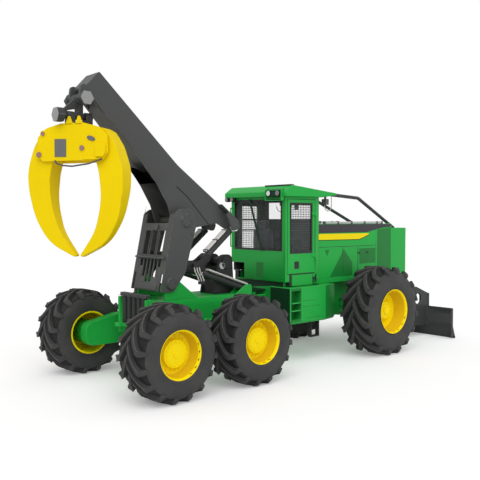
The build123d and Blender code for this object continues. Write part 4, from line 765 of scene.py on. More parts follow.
def rim_outline(size):
    """A rim's outline from the hub's face out over the lip, back along the bed and in again."""
    face, disc, hub = size.hub_face, size.disc_out, size.hub_radius
    half, lip, bed = size.rim_half, size.lip, size.bed
    barrel = bed - 0.018
    step = half - 0.045
    return [
        (face, 0.0), (face, hub * 0.9), (face - 0.008, hub * 0.97), (face - 0.02, hub),
        (disc + 0.004, hub + 0.004), (disc, hub + 0.014), (disc, barrel - 0.03),
        (disc + 0.008, barrel - 0.014), (disc + 0.03, barrel - 0.004), (step - 0.06, barrel),
        (step - 0.03, barrel + 0.006), (step, barrel + 0.008), (half - 0.02, barrel + 0.018),
        (half - 0.006, lip - 0.016), (half, lip - 0.01), (half, lip - 0.003), (half - 0.004, lip),
        (half - 0.02, lip), (half - 0.02, bed), (0.02 - half, bed), (0.02 - half, lip), (-half, lip),
        (-half, barrel + 0.012), (0.04 - half, barrel), (disc - 0.05, barrel),
        (disc - 0.02, barrel - 0.03), (disc - 0.02, hub), (size.hub_back, hub), (size.hub_back, 0.0),
    ]


def make_rim(node, sign, size, front):
    centre = wheel_centre(node)
    bm = bmesh.new()
    spun(bm, rim_outline(size), centre, sign, RIM_STEPS)

    def at(depth):
        return centre + Vector((0, sign * depth, 0))

    face, disc, hub = size.hub_face, size.disc_out, size.hub_radius
    if front:
        bolt_ring(bm, at(disc), hub + 0.055, 20, sign, 0.017, 0.022)
        bolt_ring(bm, at(face), hub * 0.72, 12, sign, 0.014, 0.014)
        rod(bm, at(face - 0.002), at(face + 0.03), 0.085, 32, 0.078)
    else:
        bolt_ring(bm, at(face), hub * 0.8, 16, sign, 0.014, 0.014)
        bolt_ring(bm, at(disc), hub + 0.05, 20, sign, 0.015, 0.02, 0.15)
        rod(bm, at(face - 0.002), at(face + 0.016), 0.06, 32, 0.054)
    rod(bm, at(face + 0.012), at(face + 0.024), 0.024, 6)
    # painted shade: faces inside the barrel take the darker yellow
    for part in bm.faces:
        c = part.calc_center_median() - centre
        inside = disc - 0.03 < sign * c.y < size.rim_half - 0.05
        outer = Vector((c.x, 0, c.z)).length > max(hub + 0.03, size.bed - 0.07)
        part.material_index = int(inside and outer)
    piece = finished(bm, f"{node}_shape", ["yellow", "barrel_shade_yellow"], body=body_of(node), smooth=30)
    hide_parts(node)
    # painted shade: a dark ring in the joint of rim lip and tyre
    ring = bmesh.new()
    gap = rect((size.rim_half - 0.016, size.rim_half - 0.003), (size.lip + 0.001, size.lip + 0.014))
    spun(ring, gap, centre, sign, RIM_STEPS, closed=True)
    finished(ring, f"{node}_seat_shade_ring", "tread_gap", body=body_of(node), smooth=50)


class SKIDDER_OT_wheels(Operator):
    """Tyres with curved lugs, and rims with their bolts"""

    bl_idname = "skidder.wheels"
    bl_label = "Wheels"

    def execute(self, context):
        for place, size in (("front", FRONT_WHEEL), ("mid", REAR_WHEEL), ("rear", REAR_WHEEL)):
            for word, sign in SIDES.items():
                make_tyre(f"tyre_{place}_{word}", size)
                make_rim(f"rim_{place}_{word}", sign, size, place == "front")
        return {"FINISHED"}


# ==== Cab
def cab_finish(face):
    """1 for faces that look into the cabin, 2 for the cut-away rear corner, black as painted shade, 0 for the
    outside.
    """
    c = face.calc_center_median()
    behind, left, below = CUT_CORNER
    if CAB_REAR_X + 0.01 < c.x < behind and c.y > left and c.z < below:
        return 2
    return (
        CAB_REAR_X + 0.045 < c.x < CAB_FRONT_X - 0.045
        and abs(c.y) < CAB_HALF - 0.045
        and CAB_FLOOR + 0.04 < c.z < CAB_TOP + 0.05
    )


def door_finish(face):
    """1 for the faces that look into the cabin."""
    return abs(face.calc_center_median().y) < CAB_HALF - 0.02


def wire_guard(bm, x, z, depth, bars):
    """A wire grid on a side of the machine between two limits each way, with wide bars at some heights."""
    radius = sizes().wire_radius
    for upright, (low, high), ends in ((True, x, z), (False, z, x)):
        count = max(2, round((high - low) / sizes().wire_pitch))
        for i in range(1, count):
            at = low + (high - low) * i / count
            start, end = (on_side(*((at, e) if upright else (e, at)), depth) for e in ends)
            rod(bm, start, end, radius, 6)
    for height in bars:
        rod(bm, on_side(x[0], height, depth), on_side(x[1], height, depth), radius * GUARD_BAR, 8)


def window_frame(bm, u, v, width, depths, place, reach=0.0):
    """Four strips inside an opening's limits, and small triangles of a reach that round its corners."""
    within = v[0] + width, v[1] - width
    for outline in (
        rect(u, (v[0], within[0])), rect(u, (within[1], v[1])),
        rect((u[0], u[0] + width), within), rect((u[1] - width, u[1]), within),
    ):
        plate(bm, outline, *depths, place)
    if reach:
        for a, da in ((u[0] + width, reach), (u[1] - width, -reach)):
            for b, db in ((within[0], reach), (within[1], -reach)):
                corner = [(a, b), (a + da, b), (a + da * 0.3, b + db * 0.3), (a, b + db)]
                plate(bm, corner, *depths, place)


def below_doors():
    """The fold in the rear panel with painted shade, and under each door the box, black plates of painted
    shade in its gaps, a painted shade line below it, and the latch.
    """
    # painted shade: a darker plate on the rear panel's fold
    fold = bmesh.new()
    outline = [(0.027, 1.962), (-0.183, 1.965), (-0.183, 1.64), (0.027, 1.69)]
    plate(fold, outline, CAB_REAR_X - 0.002, CAB_REAR_X, on_end)
    finished(fold, "rear_panel_fold_shade", "deep_green")
    on_both_sides(
        "sill_boxes", "green", CAB_HALF, [(rect(SILL_BOX_X, (1.515, 1.722)), -0.1, 0.018)], 0.006
    )
    # painted shade: black plates in the gaps by each sill box
    gap_shades = [
        (rect((-0.17, SILL_BOX_X[0]), (1.52, 1.742)), -0.1, 0.004),
        (rect((SILL_BOX_X[1], 0.5), (1.56, 1.7)), 0.0, 0.014),
        (rect((0.575, 0.6), (1.57, 1.72)), 0.0, 0.02),
        (rect((-0.18, 0.56), (1.736, 1.75)), 0.0, 0.003),
    ]
    latch = ((0.535, 1.64), 0.022, 0.026, 12)
    on_both_sides("sill_gap_shades_and_latches", "black", CAB_HALF, gap_shades, 0.002, pins=[latch])
    # painted shade: a dark line under each sill box
    line = rect((SILL_BOX_X[0], CAB_FRONT_X), (1.502, 1.514))
    on_both_sides("sill_shade_lines", "dark_green", CAB_HALF, [(line, -0.06, 0.004)])


def make_door(name, sign):
    """A door's leaf, glass, seal, handle and window guard."""
    dress(name, "green", "cabin_grey", width=0.004, inner=door_finish)
    give(name.replace("door", "door_glass"), "glass")
    outer = sign * CAB_HALF
    trim = bmesh.new()
    depths = outer - sign * 0.018, outer - sign * 0.004
    window_frame(trim, DOOR_PANE_X, DOOR_PANE_Z, 0.042, depths, on_side, 0.045)
    plate(trim, rect((-0.03, 0.102), (1.85, 1.998)), outer - sign * 0.004, outer + sign * 0.004)
    plate(trim, rect((0.0, 0.07), (1.955, 1.975)), outer, outer + sign * 0.012)
    finished(trim, f"{name}_trim", "black", 0.002, name)
    wires = bmesh.new()
    wire_guard(wires, DOOR_PANE_X, DOOR_PANE_Z, outer - sign * 0.034, GUARD_BARS)
    finished(wires, f"{name}_guard", "wire", body=name)


class SKIDDER_OT_cab(Operator):
    """Cab shell, doors, glass, window guards and their seals"""

    bl_idname = "skidder.cab"
    bl_label = "Cab"

    def execute(self, context):
        dress("cab_shell", "green", "cabin_grey", "black", inner=cab_finish, split=True)
        below_doors()
        give("cab_glass", "glass")
        seals = bmesh.new()
        window_frame(
            seals, (-REAR_WINDOW_HALF, REAR_WINDOW_HALF), (WINDOW_BOTTOM, WINDOW_TOP), 0.045,
            (CAB_REAR_X + 0.006, CAB_REAR_X + 0.018), on_end, 0.05,
        )
        window_frame(
            seals, (-SCREEN_HALF, SCREEN_HALF), (SCREEN_BOTTOM, WINDOW_TOP), 0.04,
            (CAB_FRONT_X - 0.018, CAB_FRONT_X - 0.006), on_end,
        )
        finished(seals, "window_seals", "black", 0.002)
        posts = bmesh.new()
        for sign in SIDES.values():
            block(posts, (-0.165, -0.15), (sign * 0.59, sign * 0.748), (2.16, 3.22))
            block(posts, (0.6, 0.635), (sign * 0.64, sign * 0.748), (2.16, 3.22))
        block(posts, (0.54, 0.6), (-0.06, 0.06), (2.56, 2.9))
        block(posts, (0.56, 0.58), (-0.33, -0.23), (3.02, 3.18))
        rod(posts, (0.57, 0.0, 2.6), (CAB_FRONT_X - 0.02, 0.0, SCREEN_BOTTOM - 0.06), 0.012, 12)
        rod(posts, (0.57, -0.28, 3.17), (0.57, -0.28, 3.25), 0.008, 12)
        finished(posts, "cabin_posts_and_screen", "cabin_grey", 0.003)
        strut = bmesh.new()
        slant = [(0.19, 3.235), (0.245, 3.235), (-0.125, 2.195), (-0.18, 2.195)]
        plate(strut, slant, CAB_REAR_X - 0.022, CAB_REAR_X - 0.006, on_end)
        finished(strut, "rear_window_strut", "dark_green", 0.004)
        for word, sign in SIDES.items():
            make_door(f"door_{word}", sign)
        return {"FINISHED"}


def rear_lamps():
    """A sunk pair in a box on the right, two hanging lamps on the left."""
    box, lip, shell = bmesh.new(), bmesh.new(), bmesh.new()
    right, left, foot, rear = -0.8, -0.36, CAB_TOP - 0.08, ROOF_REAR_X
    outline = [
        (rear - 0.01, CAB_TOP), (rear - 0.01, 3.392), (rear + 0.045, 3.42), (rear + 0.15, 3.42),
        (rear + 0.15, CAB_TOP),
    ]
    # painted shade: the sunk lamp box is a near-black green
    plate(box, outline, right + 0.01, left - 0.01)
    finished(box, "rear_lamp_box", "dark_green", 0.004)
    cheek = [
        (rear - 0.03, foot), (rear - 0.03, 3.395), (rear + 0.06, 3.44), (rear + 0.1, 3.36),
        (rear + 0.04, foot),
    ]
    for y in (right, left):
        plate(lip, cheek, y - 0.006, y + 0.006)
    block(lip, (rear - 0.03, rear + 0.04), (right, left), (foot, foot + 0.014))
    block(lip, (rear - 0.03, rear + 0.03), (right, left), (3.388, 3.404))
    finished(lip, "rear_lamp_lip", "green", 0.003)

    def lamp(bm, y, z, x0, x1, radius, sides, end_radius=None):
        rod(bm, (rear + x0, y, z), (rear + x1, y, z), radius, sides, end_radius)

    for name, y, finish in (("bright", -0.44, "lens"), ("dim", -0.69, "dim_lens")):
        lens = bmesh.new()
        lamp(shell, y, 3.335, 0.02, -0.022, 0.062, 28)
        lamp(lens, y, 3.335, -0.02, -0.028, 0.052, 28, 0.046)
        finished(lens, f"rear_lamp_{name}_lens", finish)
    hung = bmesh.new()
    for y in (0.66, 0.83):
        lamp(shell, y, 3.235, 0.075, -0.015, 0.048, 24)
        lamp(hung, y, 3.235, -0.011, -0.021, 0.04, 24)
        rod(shell, (rear + 0.035, y, 3.265), (rear + 0.035, y, 3.295), 0.012, 8)
    finished(hung, "hanging_lamp_lenses", "dim_lens")
    piece = finished(shell, "lamp_shells", "black", smooth=40)
    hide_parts("work_lamps")


def front_lamps():
    """A square lamp under each front corner, with its guard rod and hose."""
    shells = [
        (rect((1.03, 1.135), (3.13, 3.25)), 0.56, 0.68),
        (rect((1.0, 1.03), (3.15, 3.23)), 0.59, 0.65),
        (rect((1.06, 1.105), (3.245, 3.345)), 0.6, 0.64),
    ]
    on_both_sides("front_lamp_shells", "lamp_grey", 0.0, shells, 0.008)
    lens = rect((1.13, 1.142), (3.145, 3.235))
    on_both_sides("front_lamp_lenses", "lens", 0.0, [(lens, 0.575, 0.665)], 0.003)
    guard = bmesh.new()
    bent = ((1.185, 3.325), (1.185, 3.075), (1.15, 3.02), (1.08, 2.995), (1.0, 3.03), (0.96, 3.11))
    for sign in SIDES.values():
        for path in (bent, ((1.1, 3.325), (1.19, 3.325))):
            piping(guard, [on_side(x, z, sign * 0.7) for x, z in path], 0.009, 8)
    finished(guard, "front_lamp_guards", "steel", smooth=50)


class SKIDDER_OT_roof(Operator):
    """Roof with its lamps, rear lamp box and top plate"""

    bl_idname = "skidder.roof"
    bl_label = "Roof and lamps"

    def execute(self, context):
        dress("cab_roof", "green", width=0.012)
        lining = (
            (CAB_REAR_X + 0.03, CAB_FRONT_X - 0.03), (0.03 - CAB_HALF, CAB_HALF - 0.03),
            (CAB_TOP - 0.03, CAB_TOP - 0.002),
        )
        of_blocks("headlining", "black", [lining], 0.004)
        cover = (RIDGE_X - 0.03, RIDGE_X + 0.06), (-0.88, -0.15), (RIDGE_Z - 0.012, RIDGE_Z + 0.014)
        of_blocks("roof_top_plate", "band_grey", [cover], 0.004)
        rear_lamps()
        front_lamps()
        rails = bmesh.new()
        for low, high in ((2.26, 2.62), (2.7, 3.06)):
            x, y = CAB_REAR_X - 0.045, CAB_HALF - 0.03
            rod(rails, (x, y, low), (x, y, high), 0.013, 12)
            for z in (low, high):
                rod(rails, (x, y, z), (x + 0.05, y, z), 0.013, 12)
        finished(rails, "grab_rails", "green")
        return {"FINISHED"}


# ==== Cab interior
CUSHION_CUTS = 7
CUSHION_PULL = 0.06  # how far a cushion's corners are drawn in


def cushion(bm, x, y, z, puff):
    """A crowned cushion: a divided block whose faces swell between its corners."""
    pad = bmesh.new()
    block(pad, x, y, z)
    bmesh.ops.subdivide_edges(pad, edges=pad.edges[:], cuts=CUSHION_CUTS, use_grid_fill=True)
    middle = Vector([sum(pair) / 2 for pair in (x, y, z)])
    half = [abs(pair[1] - pair[0]) / 2 for pair in (x, y, z)]
    for vert in pad.verts:
        n = Vector([(vert.co[i] - middle[i]) / half[i] for i in range(3)])
        for i in range(3):
            j, k = (i + 1) % 3, (i + 2) % 3
            if abs(n[i]) > 0.999:
                vert.co[i] += (1 if n[i] > 0 else -1) * puff * (1 - n[j] ** 2) * (1 - n[k] ** 2)
        pull = 1 - CUSHION_PULL * (abs(n.x * n.y) + abs(n.y * n.z) + abs(n.x * n.z)) / 3
        vert.co = middle + (vert.co - middle) * pull
    join(bm, pad)


class SKIDDER_OT_interior(Operator):
    """Seat, consoles, dash and steering column"""

    bl_idname = "skidder.interior"
    bl_label = "Cab interior"

    def execute(self, context):
        seat = bmesh.new()
        cushion(seat, (-0.1, 0.36), (-0.25, 0.25), (1.995, 2.125), 0.02)
        cushion(seat, (-0.17, -0.06), (-0.24, 0.24), (2.1, 2.62), 0.022)
        cushion(seat, (-0.17, -0.08), (-0.15, 0.15), (2.63, 2.79), 0.016)
        for sign in SIDES.values():
            cushion(seat, (-0.05, 0.34), (sign * 0.28, sign * 0.36), (2.19, 2.25), 0.008)
        piece = finished(seat, "seat_cushions", "cloth", smooth=60)
        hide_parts("seat")
        rest = bmesh.new()
        block(rest, (-0.06, 0.3), (-0.18, 0.18), (1.65, 1.8))
        rod(rest, (0.12, 0, 1.8), (0.12, 0, 1.99), 0.11, 20)
        for sign in SIDES.values():
            block(rest, (-0.06, 0.44), (sign * 0.27, sign * 0.37), (2.02, 2.19))
            rod(rest, (0.4, sign * 0.32, 2.19), (0.4, sign * 0.32, 2.31), 0.016, 10, 0.024)
        block(rest, (0.46, 0.62), (-0.32, 0.32), (1.66, 2.25))
        plate(rest, [(0.4, 2.25), (0.62, 2.25), (0.62, 2.42), (0.52, 2.4)], -0.36, 0.36)
        rod(rest, (0.47, 0, 2.28), (0.36, 0, 2.44), 0.022, 12)
        finished(rest, "seat_base_and_consoles", "black", 0.006)
        return {"FINISHED"}


# ==== Hood and guards
class SKIDDER_OT_hood(Operator):
    """Hood with its band, stripe, seams, latches, painted shade panels, painted highlight strips and rails"""

    bl_idname = "skidder.hood"
    bl_label = "Hood and front guard"

    def execute(self, context):
        dress("hood", "green")
        dress("front_guard", "green")
        rear, front = HOOD_REAR_X, 2.73
        band = [
            (rear, 2.54), (2.4, 2.545), (2.7, 2.6), (2.98, 2.64), (3.24, 2.65), (3.29, 2.712),
            (3.29, 2.722), (rear, 2.722),
        ]
        stripe = [(rear, 2.402), (2.12, 2.395), (2.44, 2.488), (2.45, 2.52), (rear, 2.524)]
        groove = [
            (rear, 2.388), (2.13, 2.381), (2.46, 2.478), (2.44, 2.488), (2.12, 2.396), (rear, 2.402)
        ]
        seams = [groove, rect((rear, front), (2.242, 2.252))]
        seams += [rect((x - 0.005, x + 0.005), (1.7, 2.244)) for x in (1.563, 2.073)]
        latches = [rect((x - 0.035, x + 0.035), (2.08, 2.12)) for x in (2.1, 2.4)]
        # painted shade: darker plates on the radiator section and the side panels
        shade = raised(0.003, [(2.738, 1.62), (3.268, 1.62), (3.268, 2.64), (2.738, 2.596)]) + raised(
            0.0025, [(1.15, 1.62), (1.6, 2.19), (1.88, 1.9), (1.88, 1.62)],
            rect((2.13, 2.69), (1.86, 2.19)), [(0.985, 2.19), (1.13, 2.19), (1.06, 2.06)],
        )
        # painted highlights: light strips along the hood's seam and the radiator section's edges
        strips = raised(0.004, rect((rear, front), (2.228, 2.24)))
        strips += raised(0.01, rect((2.722, 2.738), (1.62, 2.6)), rect((3.268, 3.284), (1.62, 2.64)))
        for name, finish, rows, width in (
            ("band", "band_grey", raised(0.004, band), 0.0015),
            ("stripe", "yellow", raised(0.005, stripe), 0.0015),
            ("seams", "dark_green", raised(0.003, *seams), 0.0),
            ("latches", "black", raised(0.01, *latches), 0.002),
            ("shaded_panels", "deep_green", shade, 0.0),
            ("edge_highlights", "light_green", strips, 0.002),
        ):
            on_both_sides(f"hood_{name}", finish, HOOD_HALF, rows, width)
        rail = rect((1.0, 3.0), (HOOD_TOP + 0.006, HOOD_TOP + 0.05))
        on_both_sides("hood_top_rails", "pale_grey", HOOD_RAIL_Y, [(rail, -0.012, 0.012)], 0.003)
        feet = [
            (rect((x - 0.025, x + 0.025), (HOOD_TOP - 0.004, HOOD_TOP + 0.056)), -0.018, 0.018)
            for x in (1.02, 1.45, 1.9, 2.35, 2.8, 2.98)
        ]
        on_both_sides("hood_rail_feet", "iron", HOOD_RAIL_Y, feet, 0.003)
        return {"FINISHED"}


# ==== Chassis
def under_cab(face):
    """Faces of the front chassis that the cab hides from the light: they take a near-black green as painted
    shade.
    """
    c = face.calc_center_median()
    return c.x < 0.05 and 1.38 < c.z < 1.61


def in_shade(face):
    """Painted shade: 2, the darker, for the boxes' rear ends; 1 inside the steps' pockets and on the
    turned-in front end.
    """
    c = face.calc_center_median()
    if c.x < -0.325:
        return 2
    along = POCKET_X[0] < c.x < POCKET_X[1]
    up = POCKET_Z[0] < c.z < POCKET_Z[1]
    turned_in = c.x > 0.72 and abs(c.y) > 0.88
    return turned_in or (along and up and abs(c.y) < BOX_HALF - 0.003)


def box_trim():
    """Painted shade on the steps' bars, painted highlights on the step edges, and seams on the side boxes."""
    bars = ((0.845, 0.878), (1.042, 1.063), (1.192, 1.213), (1.442, 1.492))
    # painted shade: darker plates over the steps' bars and the pockets' rear side
    shade = [rect((-0.322, -0.031), bar) for bar in bars] + [rect((-0.322, -0.292), (0.878, 1.442))]
    on_both_sides("step_shades", "deep_green", BOX_HALF, raised(0.002, *shade))
    # painted highlights: light strips on the step edges
    light = [(rect((-0.3, -0.036), (z, z + 0.01)), 0.001, 0.005) for z in (1.05, 1.198)]
    light += raised(0.004, rect((-0.326, -0.316), (0.86, 1.492)))
    on_both_sides("step_edge_highlights", "light_green", BOX_HALF, light)
    lines = ((0.04, 0.52, 1.118), (0.02, 0.4, 1.235), (0.1, 0.6, 0.885))
    seams = raised(0.002, *(rect((low, high), (z, z + 0.007)) for low, high, z in lines))
    seams += raised(0.003, rect((-0.03, -0.022), (0.86, 1.492)))
    on_both_sides("side_box_seams", "deep_green", BOX_HALF, seams)


class SKIDDER_OT_chassis(Operator):
    """Front and rear chassis, axle, boxes, steps, risers and bogie"""

    bl_idname = "skidder.chassis"
    bl_label = "Chassis"

    def execute(self, context):
        for node, finish in (
            ("rear_chassis", "green"), ("arch_brackets", "green"), ("bogie_cases", "green"),
            ("steps", "black"), ("fairlead", "blade_grey"), ("winch", "horn_black"), ("engine_block", "iron"),
        ):
            dress(node, finish)
        dress("limb_risers", "band_grey", width=0.0)
        dress("front_axle", "green", split=True)
        dress("front_chassis", "green", "dark_green", inner=under_cab)
        dress("side_boxes", "green", "deep_green", "dark_green", inner=in_shade)
        box_trim()
        flanges = bmesh.new()
        for sign in SIDES.values():
            hub = Vector((-1.4, sign * 0.22, 1.95))
            face = hub + Vector((0, sign * 0.014, 0))
            rod(flanges, hub, face, 0.066, 28)
            bolt_ring(flanges, face, 0.05, 8, sign, 0.012)
        finished(flanges, "winch_flanges", "pale_grey", 0.003, "rear_frame")
        return {"FINISHED"}


# ==== Boom, arch and grapple
def lug_plates(face):
    """Faces of the forward plates that carry the cylinders' pins, near-black as painted shade."""
    return face.calc_center_median().x > ARCH_FRONT_X


def panel_trim():
    """Ledge, cap, ribs and foot on the arch's rear panel; bosses, bolts and pipes on its sides."""
    def at(z, out=0.0, height=None):
        """Where the panel's face stands at z, moved out from it, at a height of its own or at z."""
        return PANEL_FOOT[0] + PANEL_LEAN * (z - PANEL_FOOT[1]) - out, height or z

    ledge = [at(2.14), at(2.14, 0.055, 2.15), at(2.172, 0.055), at(2.185)]
    cap = [at(2.64), at(2.64, 0.03, 2.645), at(2.735, 0.03, 2.73), at(2.74)]
    rib = [at(2.205), at(2.205, 0.018, 2.208), at(2.628, 0.018, 2.625), at(2.628)]
    foot = [at(1.6), at(1.6, 0.014), at(1.7, 0.014, 1.695), at(1.7)]
    trim, bolts, pipes = bmesh.new(), bmesh.new(), bmesh.new()
    for outline, middle, half in (
        (ledge, 0.0, 0.44), (cap, 0.0, 0.075), (rib, -0.11, 0.01), (rib, 0.11, 0.01),
        (foot, 0.0, 0.32),
    ):
        plate(trim, outline, middle - half, middle + half)
    for sign in SIDES.values():
        for x, y, z, reach in ((-2.42, 0.495, 2.8, 0.088), (-2.76, 0.53, 1.72, 0.074)):
            bolt_ring(bolts, (x, sign * y, z), reach, 6, sign, sizes().bolt_radius)
        rod(trim, (-2.3, sign * 0.48, 2.56), (-2.3, sign * 0.494, 2.56), 0.02, 16)
        for shift in (0.0, 0.055, 0.11):
            path = ((-2.27, 1.985), (-2.25, 1.9), (-2.19, 1.8), (-2.15, 1.7))
            piping(pipes, [(x + shift, sign * ARCH_PIPES_Y, z) for x, z in path], 0.012, 10)
    finished(trim, "arch_panel_trim", "boom_grey", 0.004, "arch")
    finished(pipes, "arch_pipes", "pale_steel", body="arch", smooth=50)
    valves = [
        (rect((-2.29, -2.15), (1.975, 2.05)), -0.02, 0.02),
        (rect((-2.17, -2.04), (1.665, 1.72)), -0.02, 0.02),
    ]
    on_both_sides("arch_valve_blocks", "black", ARCH_PIPES_Y, valves, 0.004, "arch")
    finished(bolts, "arch_cap_bolts", "iron", body="arch")


def cylinder_trim():
    """Three bright pipes along each barrel and their clamps."""
    for pair, (low, high, rise, lean, sink) in BARREL_PIPES.items():
        pipes, clamps = bmesh.new(), bmesh.new()
        run = Vector((high[0] - low[0], 0, high[1] - low[1])).normalized()
        up = Vector((-run.z, 0, run.x))
        if up.z < 0:
            up.negate()
        for sign in SIDES.values():
            y = sign * RAM_Y
            start, end = (Vector((x, y, z)) + up * rise for x, z in (low, high))
            for shift in (-0.04, 0.0, 0.04):
                aside = Vector((0, shift + sign * lean, 0)) - up * sink
                rod(pipes, start + aside, end + aside, 0.018, 10)
            for share in (0.04, 0.5, 0.96):
                x, _, z = start.lerp(end, share)
                block(clamps, (x - 0.014, x + 0.014), (y - 0.064, y + 0.064), (z - 0.034, z + 0.022))
        body = body_of(f"{pair}_barrels")
        finished(pipes, f"{pair}_barrel_pipes", "pale_steel", body=body)
        finished(clamps, f"{pair}_barrel_clamps", "blade_grey", 0.003, body)


class SKIDDER_OT_boom(Operator):
    """Boom, arch and cylinders"""

    bl_idname = "skidder.boom"
    bl_label = "Boom and arch"

    def execute(self, context):
        dress("boom", "boom_grey")
        # painted shade: the forward pin plates in near-black
        dress("arch", "boom_grey", "horn_black", inner=lug_plates)
        for pair in ("arch", "boom", "blade"):
            dress(f"{pair}_barrels", "blade_grey", width=0.004)
            give(f"{pair}_rods", "chrome")
        # painted shade: a near-black strip along each side plate's ridge
        line = [(-2.5, 3.417), (-2.27, 3.25), (-1.74, 2.71)]
        ridge = line + [(x - 0.006, z - 0.022) for x, z in reversed(line)]
        on_both_sides("boom_side_ridges", "horn_black", BOOM_HALF, raised(0.004, ridge), 0.001, "boom")
        panel_trim()
        cylinder_trim()
        return {"FINISHED"}


def hex_caps(face):
    """End faces of the crosshead's damper caps."""
    c = face.calc_center_median()
    return abs(c.y) > 0.28 or c.x < SWING_X - 0.41


def head_trim():
    """Plates, pins, bosses and ears on the head's two faces, and a bent pipe on the right one."""
    cover = [(-0.306, 3.828), (-0.098, 3.824), (-0.098, 4.108), (-0.306, 4.114)]
    lean = Matrix.Rotation(-0.35, 2)
    turns = [tau * i / 20 for i in range(20)]
    oval = [Vector((0.347, 4.105)) + lean @ Vector((0.075 * cos(a), -0.036 * sin(a))) for a in turns]
    boss = [(0.44, 3.812), (0.56, 3.812), (0.61, 3.86), (0.612, 3.985), (0.56, 4.022), (0.44, 4.022)]
    fin = [(0.2, 3.772), (0.52, 3.772), (0.44, 3.806), (0.24, 3.846)]
    half_ear = [(0.075, 4.33), (0.036, 4.415), (0.016, 4.47)]
    ear = half_ear + [(-u, z) for u, z in reversed(half_ear)]
    grey, pins, yellow, pipe = bmesh.new(), bmesh.new(), bmesh.new(), bmesh.new()
    for sign in SIDES.values():
        face = sign * FACE_DEPTH
        for u, z, radius in ((-0.515, 4.205, 0.034), (-0.59, 3.87, 0.046), (0.187, 3.957, 0.042)):
            root = on_grapple(u, z, face - sign * 0.01)
            rod(pins, root, on_grapple(u, z, face + sign * 0.024), radius, 20)
            rod(yellow, root, on_grapple(u, z, face + sign * 0.008), radius + 0.022, 20)
        for bm, outline, height in (
            (grey, cover, 0.01), (grey, oval, 0.016), (yellow, boss, 0.05), (yellow, fin, 0.02)
        ):
            plate(bm, outline, face, face + sign * height, on_grapple)
        for middle in (sign * 0.05, -sign * 0.125):
            moved = [(u + middle, z) for u, z in ear]
            plate(yellow, moved, face - sign * 0.03, face, on_grapple)
    path = ((-0.3, 3.77), (-0.27, 3.726), (-0.17, 3.69), (0.01, 3.672), (0.3, 3.706), (0.54, 3.775))
    piping(pipe, [on_grapple(u, z, -FACE_DEPTH - 0.012) for u, z in path], 0.013, 10)
    body = body_of("grapple_head")
    finished(grey, "head_plates", "lamp_grey", 0.003, body)
    finished(pins, "head_pins", "pinkish", 0.004, body)
    finished(yellow, "head_bosses", "grapple_yellow", 0.004, body)
    finished(pipe, "head_pipes", "iron", body=body, smooth=50)


class SKIDDER_OT_grapple(Operator):
    """Crosshead, rotator, grapple head and tongs"""

    bl_idname = "skidder.grapple"
    bl_label = "Grapple"

    def execute(self, context):
        dress("crosshead", "blade_grey", "cap_grey", inner=hex_caps)
        dress("rotator", "blade_grey")
        dress("grapple_head", "grapple_yellow")
        for word in SIDES:
            dress(f"tong_{word}", "grapple_yellow", width=0.01)
        head_trim()
        return {"FINISHED"}


class SKIDDER_OT_blade(Operator):
    """Front blade"""

    bl_idname = "skidder.blade"
    bl_label = "Blade"

    def execute(self, context):
        dress("blade", "blade_grey")
        back = BLADE_X - 0.155
        ribs = bmesh.new()
        block(ribs, (back - 0.008, back), (0.04 - BLADE_HALF, BLADE_HALF - 0.04), (0.655, 0.672))
        for sign in SIDES.values():
            inner, outer = sign * 0.8, sign * 1.41
            rib = [(inner, 0.56), (outer, 0.5), (outer, 0.512), (inner, 0.572)]
            plate(ribs, rib, back - 0.01, back, on_end)
        finished(ribs, "blade_ribs", "boom_grey", 0.002, "blade")
        foot = [
            (BLADE_X - 0.01, 0.01), (back - 0.005, 0.03), (back - 0.005, 0.05), (BLADE_X - 0.02, 0.05)
        ]
        end = [(back + 0.002, 0.05), (back + 0.002, 0.7), (back + 0.04, 0.712), (back + 0.04, 0.05)]
        edges = [(foot, -0.034, 0.0), (end, -0.036, -0.001)]
        on_both_sides("blade_end_edges", "iron", BLADE_HALF, edges, 0.002, "blade")
        return {"FINISHED"}


# ==== Stage
CAMERA_AT, CAMERA_AIM = Vector((-9.4987, -9.8592, 2.8341)), Vector((-0.746, 0.0, 2.418))
LENS, SENSOR = 49.98, 36.0
KEY_FROM, KEY_SPREAD = Vector((-0.45, -0.62, 0.8)), radians(55)
FLOOR_HALF, FLOOR_LIFT = 90, 0.22


def seen_directly(tree):
    """1 for rays that come straight from the camera, a mirror or through glass."""
    path = add(tree, "ShaderNodeLightPath").outputs
    rays = plus(tree, path["Is Camera Ray"], path["Is Glossy Ray"])
    return plus(tree, rays, path["Is Transmission Ray"], clamp=True)


def floor_finish():
    """A matt floor that looks a little brighter than it lights."""
    made = bpy.data.materials.new("studio_floor_finish")
    made.use_nodes = True
    tree = made.node_tree
    tree.nodes.clear()
    base = colours().floor
    cloudy = noise(tree, add(tree, "ShaderNodeTexCoord").outputs["Object"], 0.6)
    tint = mix(tree, cloudy, opaque(base), opaque([v * 1.02 for v in base]))
    matt = add(tree, "ShaderNodeBsdfDiffuse", {"Color": tint})
    lift = add(tree, "ShaderNodeEmission", {"Strength": times(tree, seen_directly(tree), FLOOR_LIFT)})
    both = add(tree, "ShaderNodeAddShader", {0: matt.outputs[0], 1: lift.outputs[0]})
    add(tree, "ShaderNodeOutputMaterial", {"Surface": both.outputs[0]})
    return made


def studio_light():
    """White all round: at full strength where it is seen, at the sky light's strength where it lights."""
    made = bpy.data.worlds.new("studio_light")
    made.use_nodes = True
    tree = made.node_tree
    light = sizes().sky_light
    strength = plus(tree, times(tree, seen_directly(tree), 1.0 - light), light)
    fill(tree, tree.nodes["Background"], {"Color": (1, 1, 1, 1), "Strength": strength})
    return made


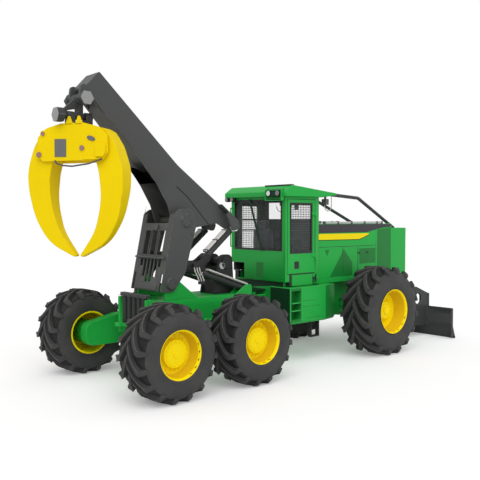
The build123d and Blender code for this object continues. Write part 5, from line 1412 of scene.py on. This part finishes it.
class SKIDDER_OT_stage(Operator):
    """Floor, light and camera"""

    bl_idname = "skidder.stage"
    bl_label = "Stage"

    def execute(self, context):
        scene = context.scene
        bm = bmesh.new()
        bmesh.ops.create_grid(bm, x_segments=1, y_segments=1, size=FLOOR_HALF)
        mesh = bpy.data.meshes.new("studio_floor")
        bm.to_mesh(mesh)
        bm.free()
        mesh.materials.append(floor_finish())
        floor = linked("studio_floor", mesh)
        scene.world = studio_light()
        lamp = bpy.data.lights.new("key_lamp", "SUN")
        lamp.energy, lamp.angle = sizes().key_light, KEY_SPREAD
        key = linked("key_lamp", lamp)
        key.rotation_euler = KEY_FROM.to_track_quat("Z", "Y").to_euler()
        optics = bpy.data.cameras.new("camera")
        optics.lens, optics.sensor_width, optics.clip_end = LENS, SENSOR, 400.0
        camera = linked("camera", optics)
        camera.location = CAMERA_AT
        camera.rotation_euler = (CAMERA_AT - CAMERA_AIM).to_track_quat("Z", "Y").to_euler()
        scene.camera = camera
        scene.view_settings.view_transform = "Standard"
        return {"FINISHED"}


# ==== Panel, registration and the whole machine
OPERATORS = (
    SKIDDER_OT_wheels, SKIDDER_OT_cab, SKIDDER_OT_roof, SKIDDER_OT_interior, SKIDDER_OT_hood,
    SKIDDER_OT_chassis, SKIDDER_OT_boom, SKIDDER_OT_grapple, SKIDDER_OT_blade, SKIDDER_OT_stage,
)


class SKIDDER_PT_panel(Panel):
    """Lists the skidder's pieces, sizes and colours"""

    bl_idname = "SKIDDER_PT_panel"
    bl_label = "Skidder"
    bl_space_type = "VIEW_3D"
    bl_region_type = "UI"
    bl_category = "Skidder"

    def draw(self, context):
        for group in (context.scene.skidder_sizes, context.scene.skidder_colours):
            box = self.layout.box()
            for key in group.bl_rna.properties.keys():
                if key not in ("rna_type", "name"):
                    box.prop(group, key)
        for operator in OPERATORS:
            self.layout.operator(operator.bl_idname)


CLASSES = (SkidderColours, SkidderSizes, *OPERATORS, SKIDDER_PT_panel)


def register():
    for made in CLASSES:
        bpy.utils.register_class(made)
    bpy.types.Scene.skidder_colours = PointerProperty(type=SkidderColours)
    bpy.types.Scene.skidder_sizes = PointerProperty(type=SkidderSizes)


def unregister():
    del bpy.types.Scene.skidder_sizes
    del bpy.types.Scene.skidder_colours
    for made in reversed(CLASSES):
        bpy.utils.unregister_class(made)


def main():
    register()
    make_finishes()
    for operator in OPERATORS:
        family, name = operator.bl_idname.split(".")
        getattr(getattr(bpy.ops, family), name)()


if __name__ == "__main__":
    main()
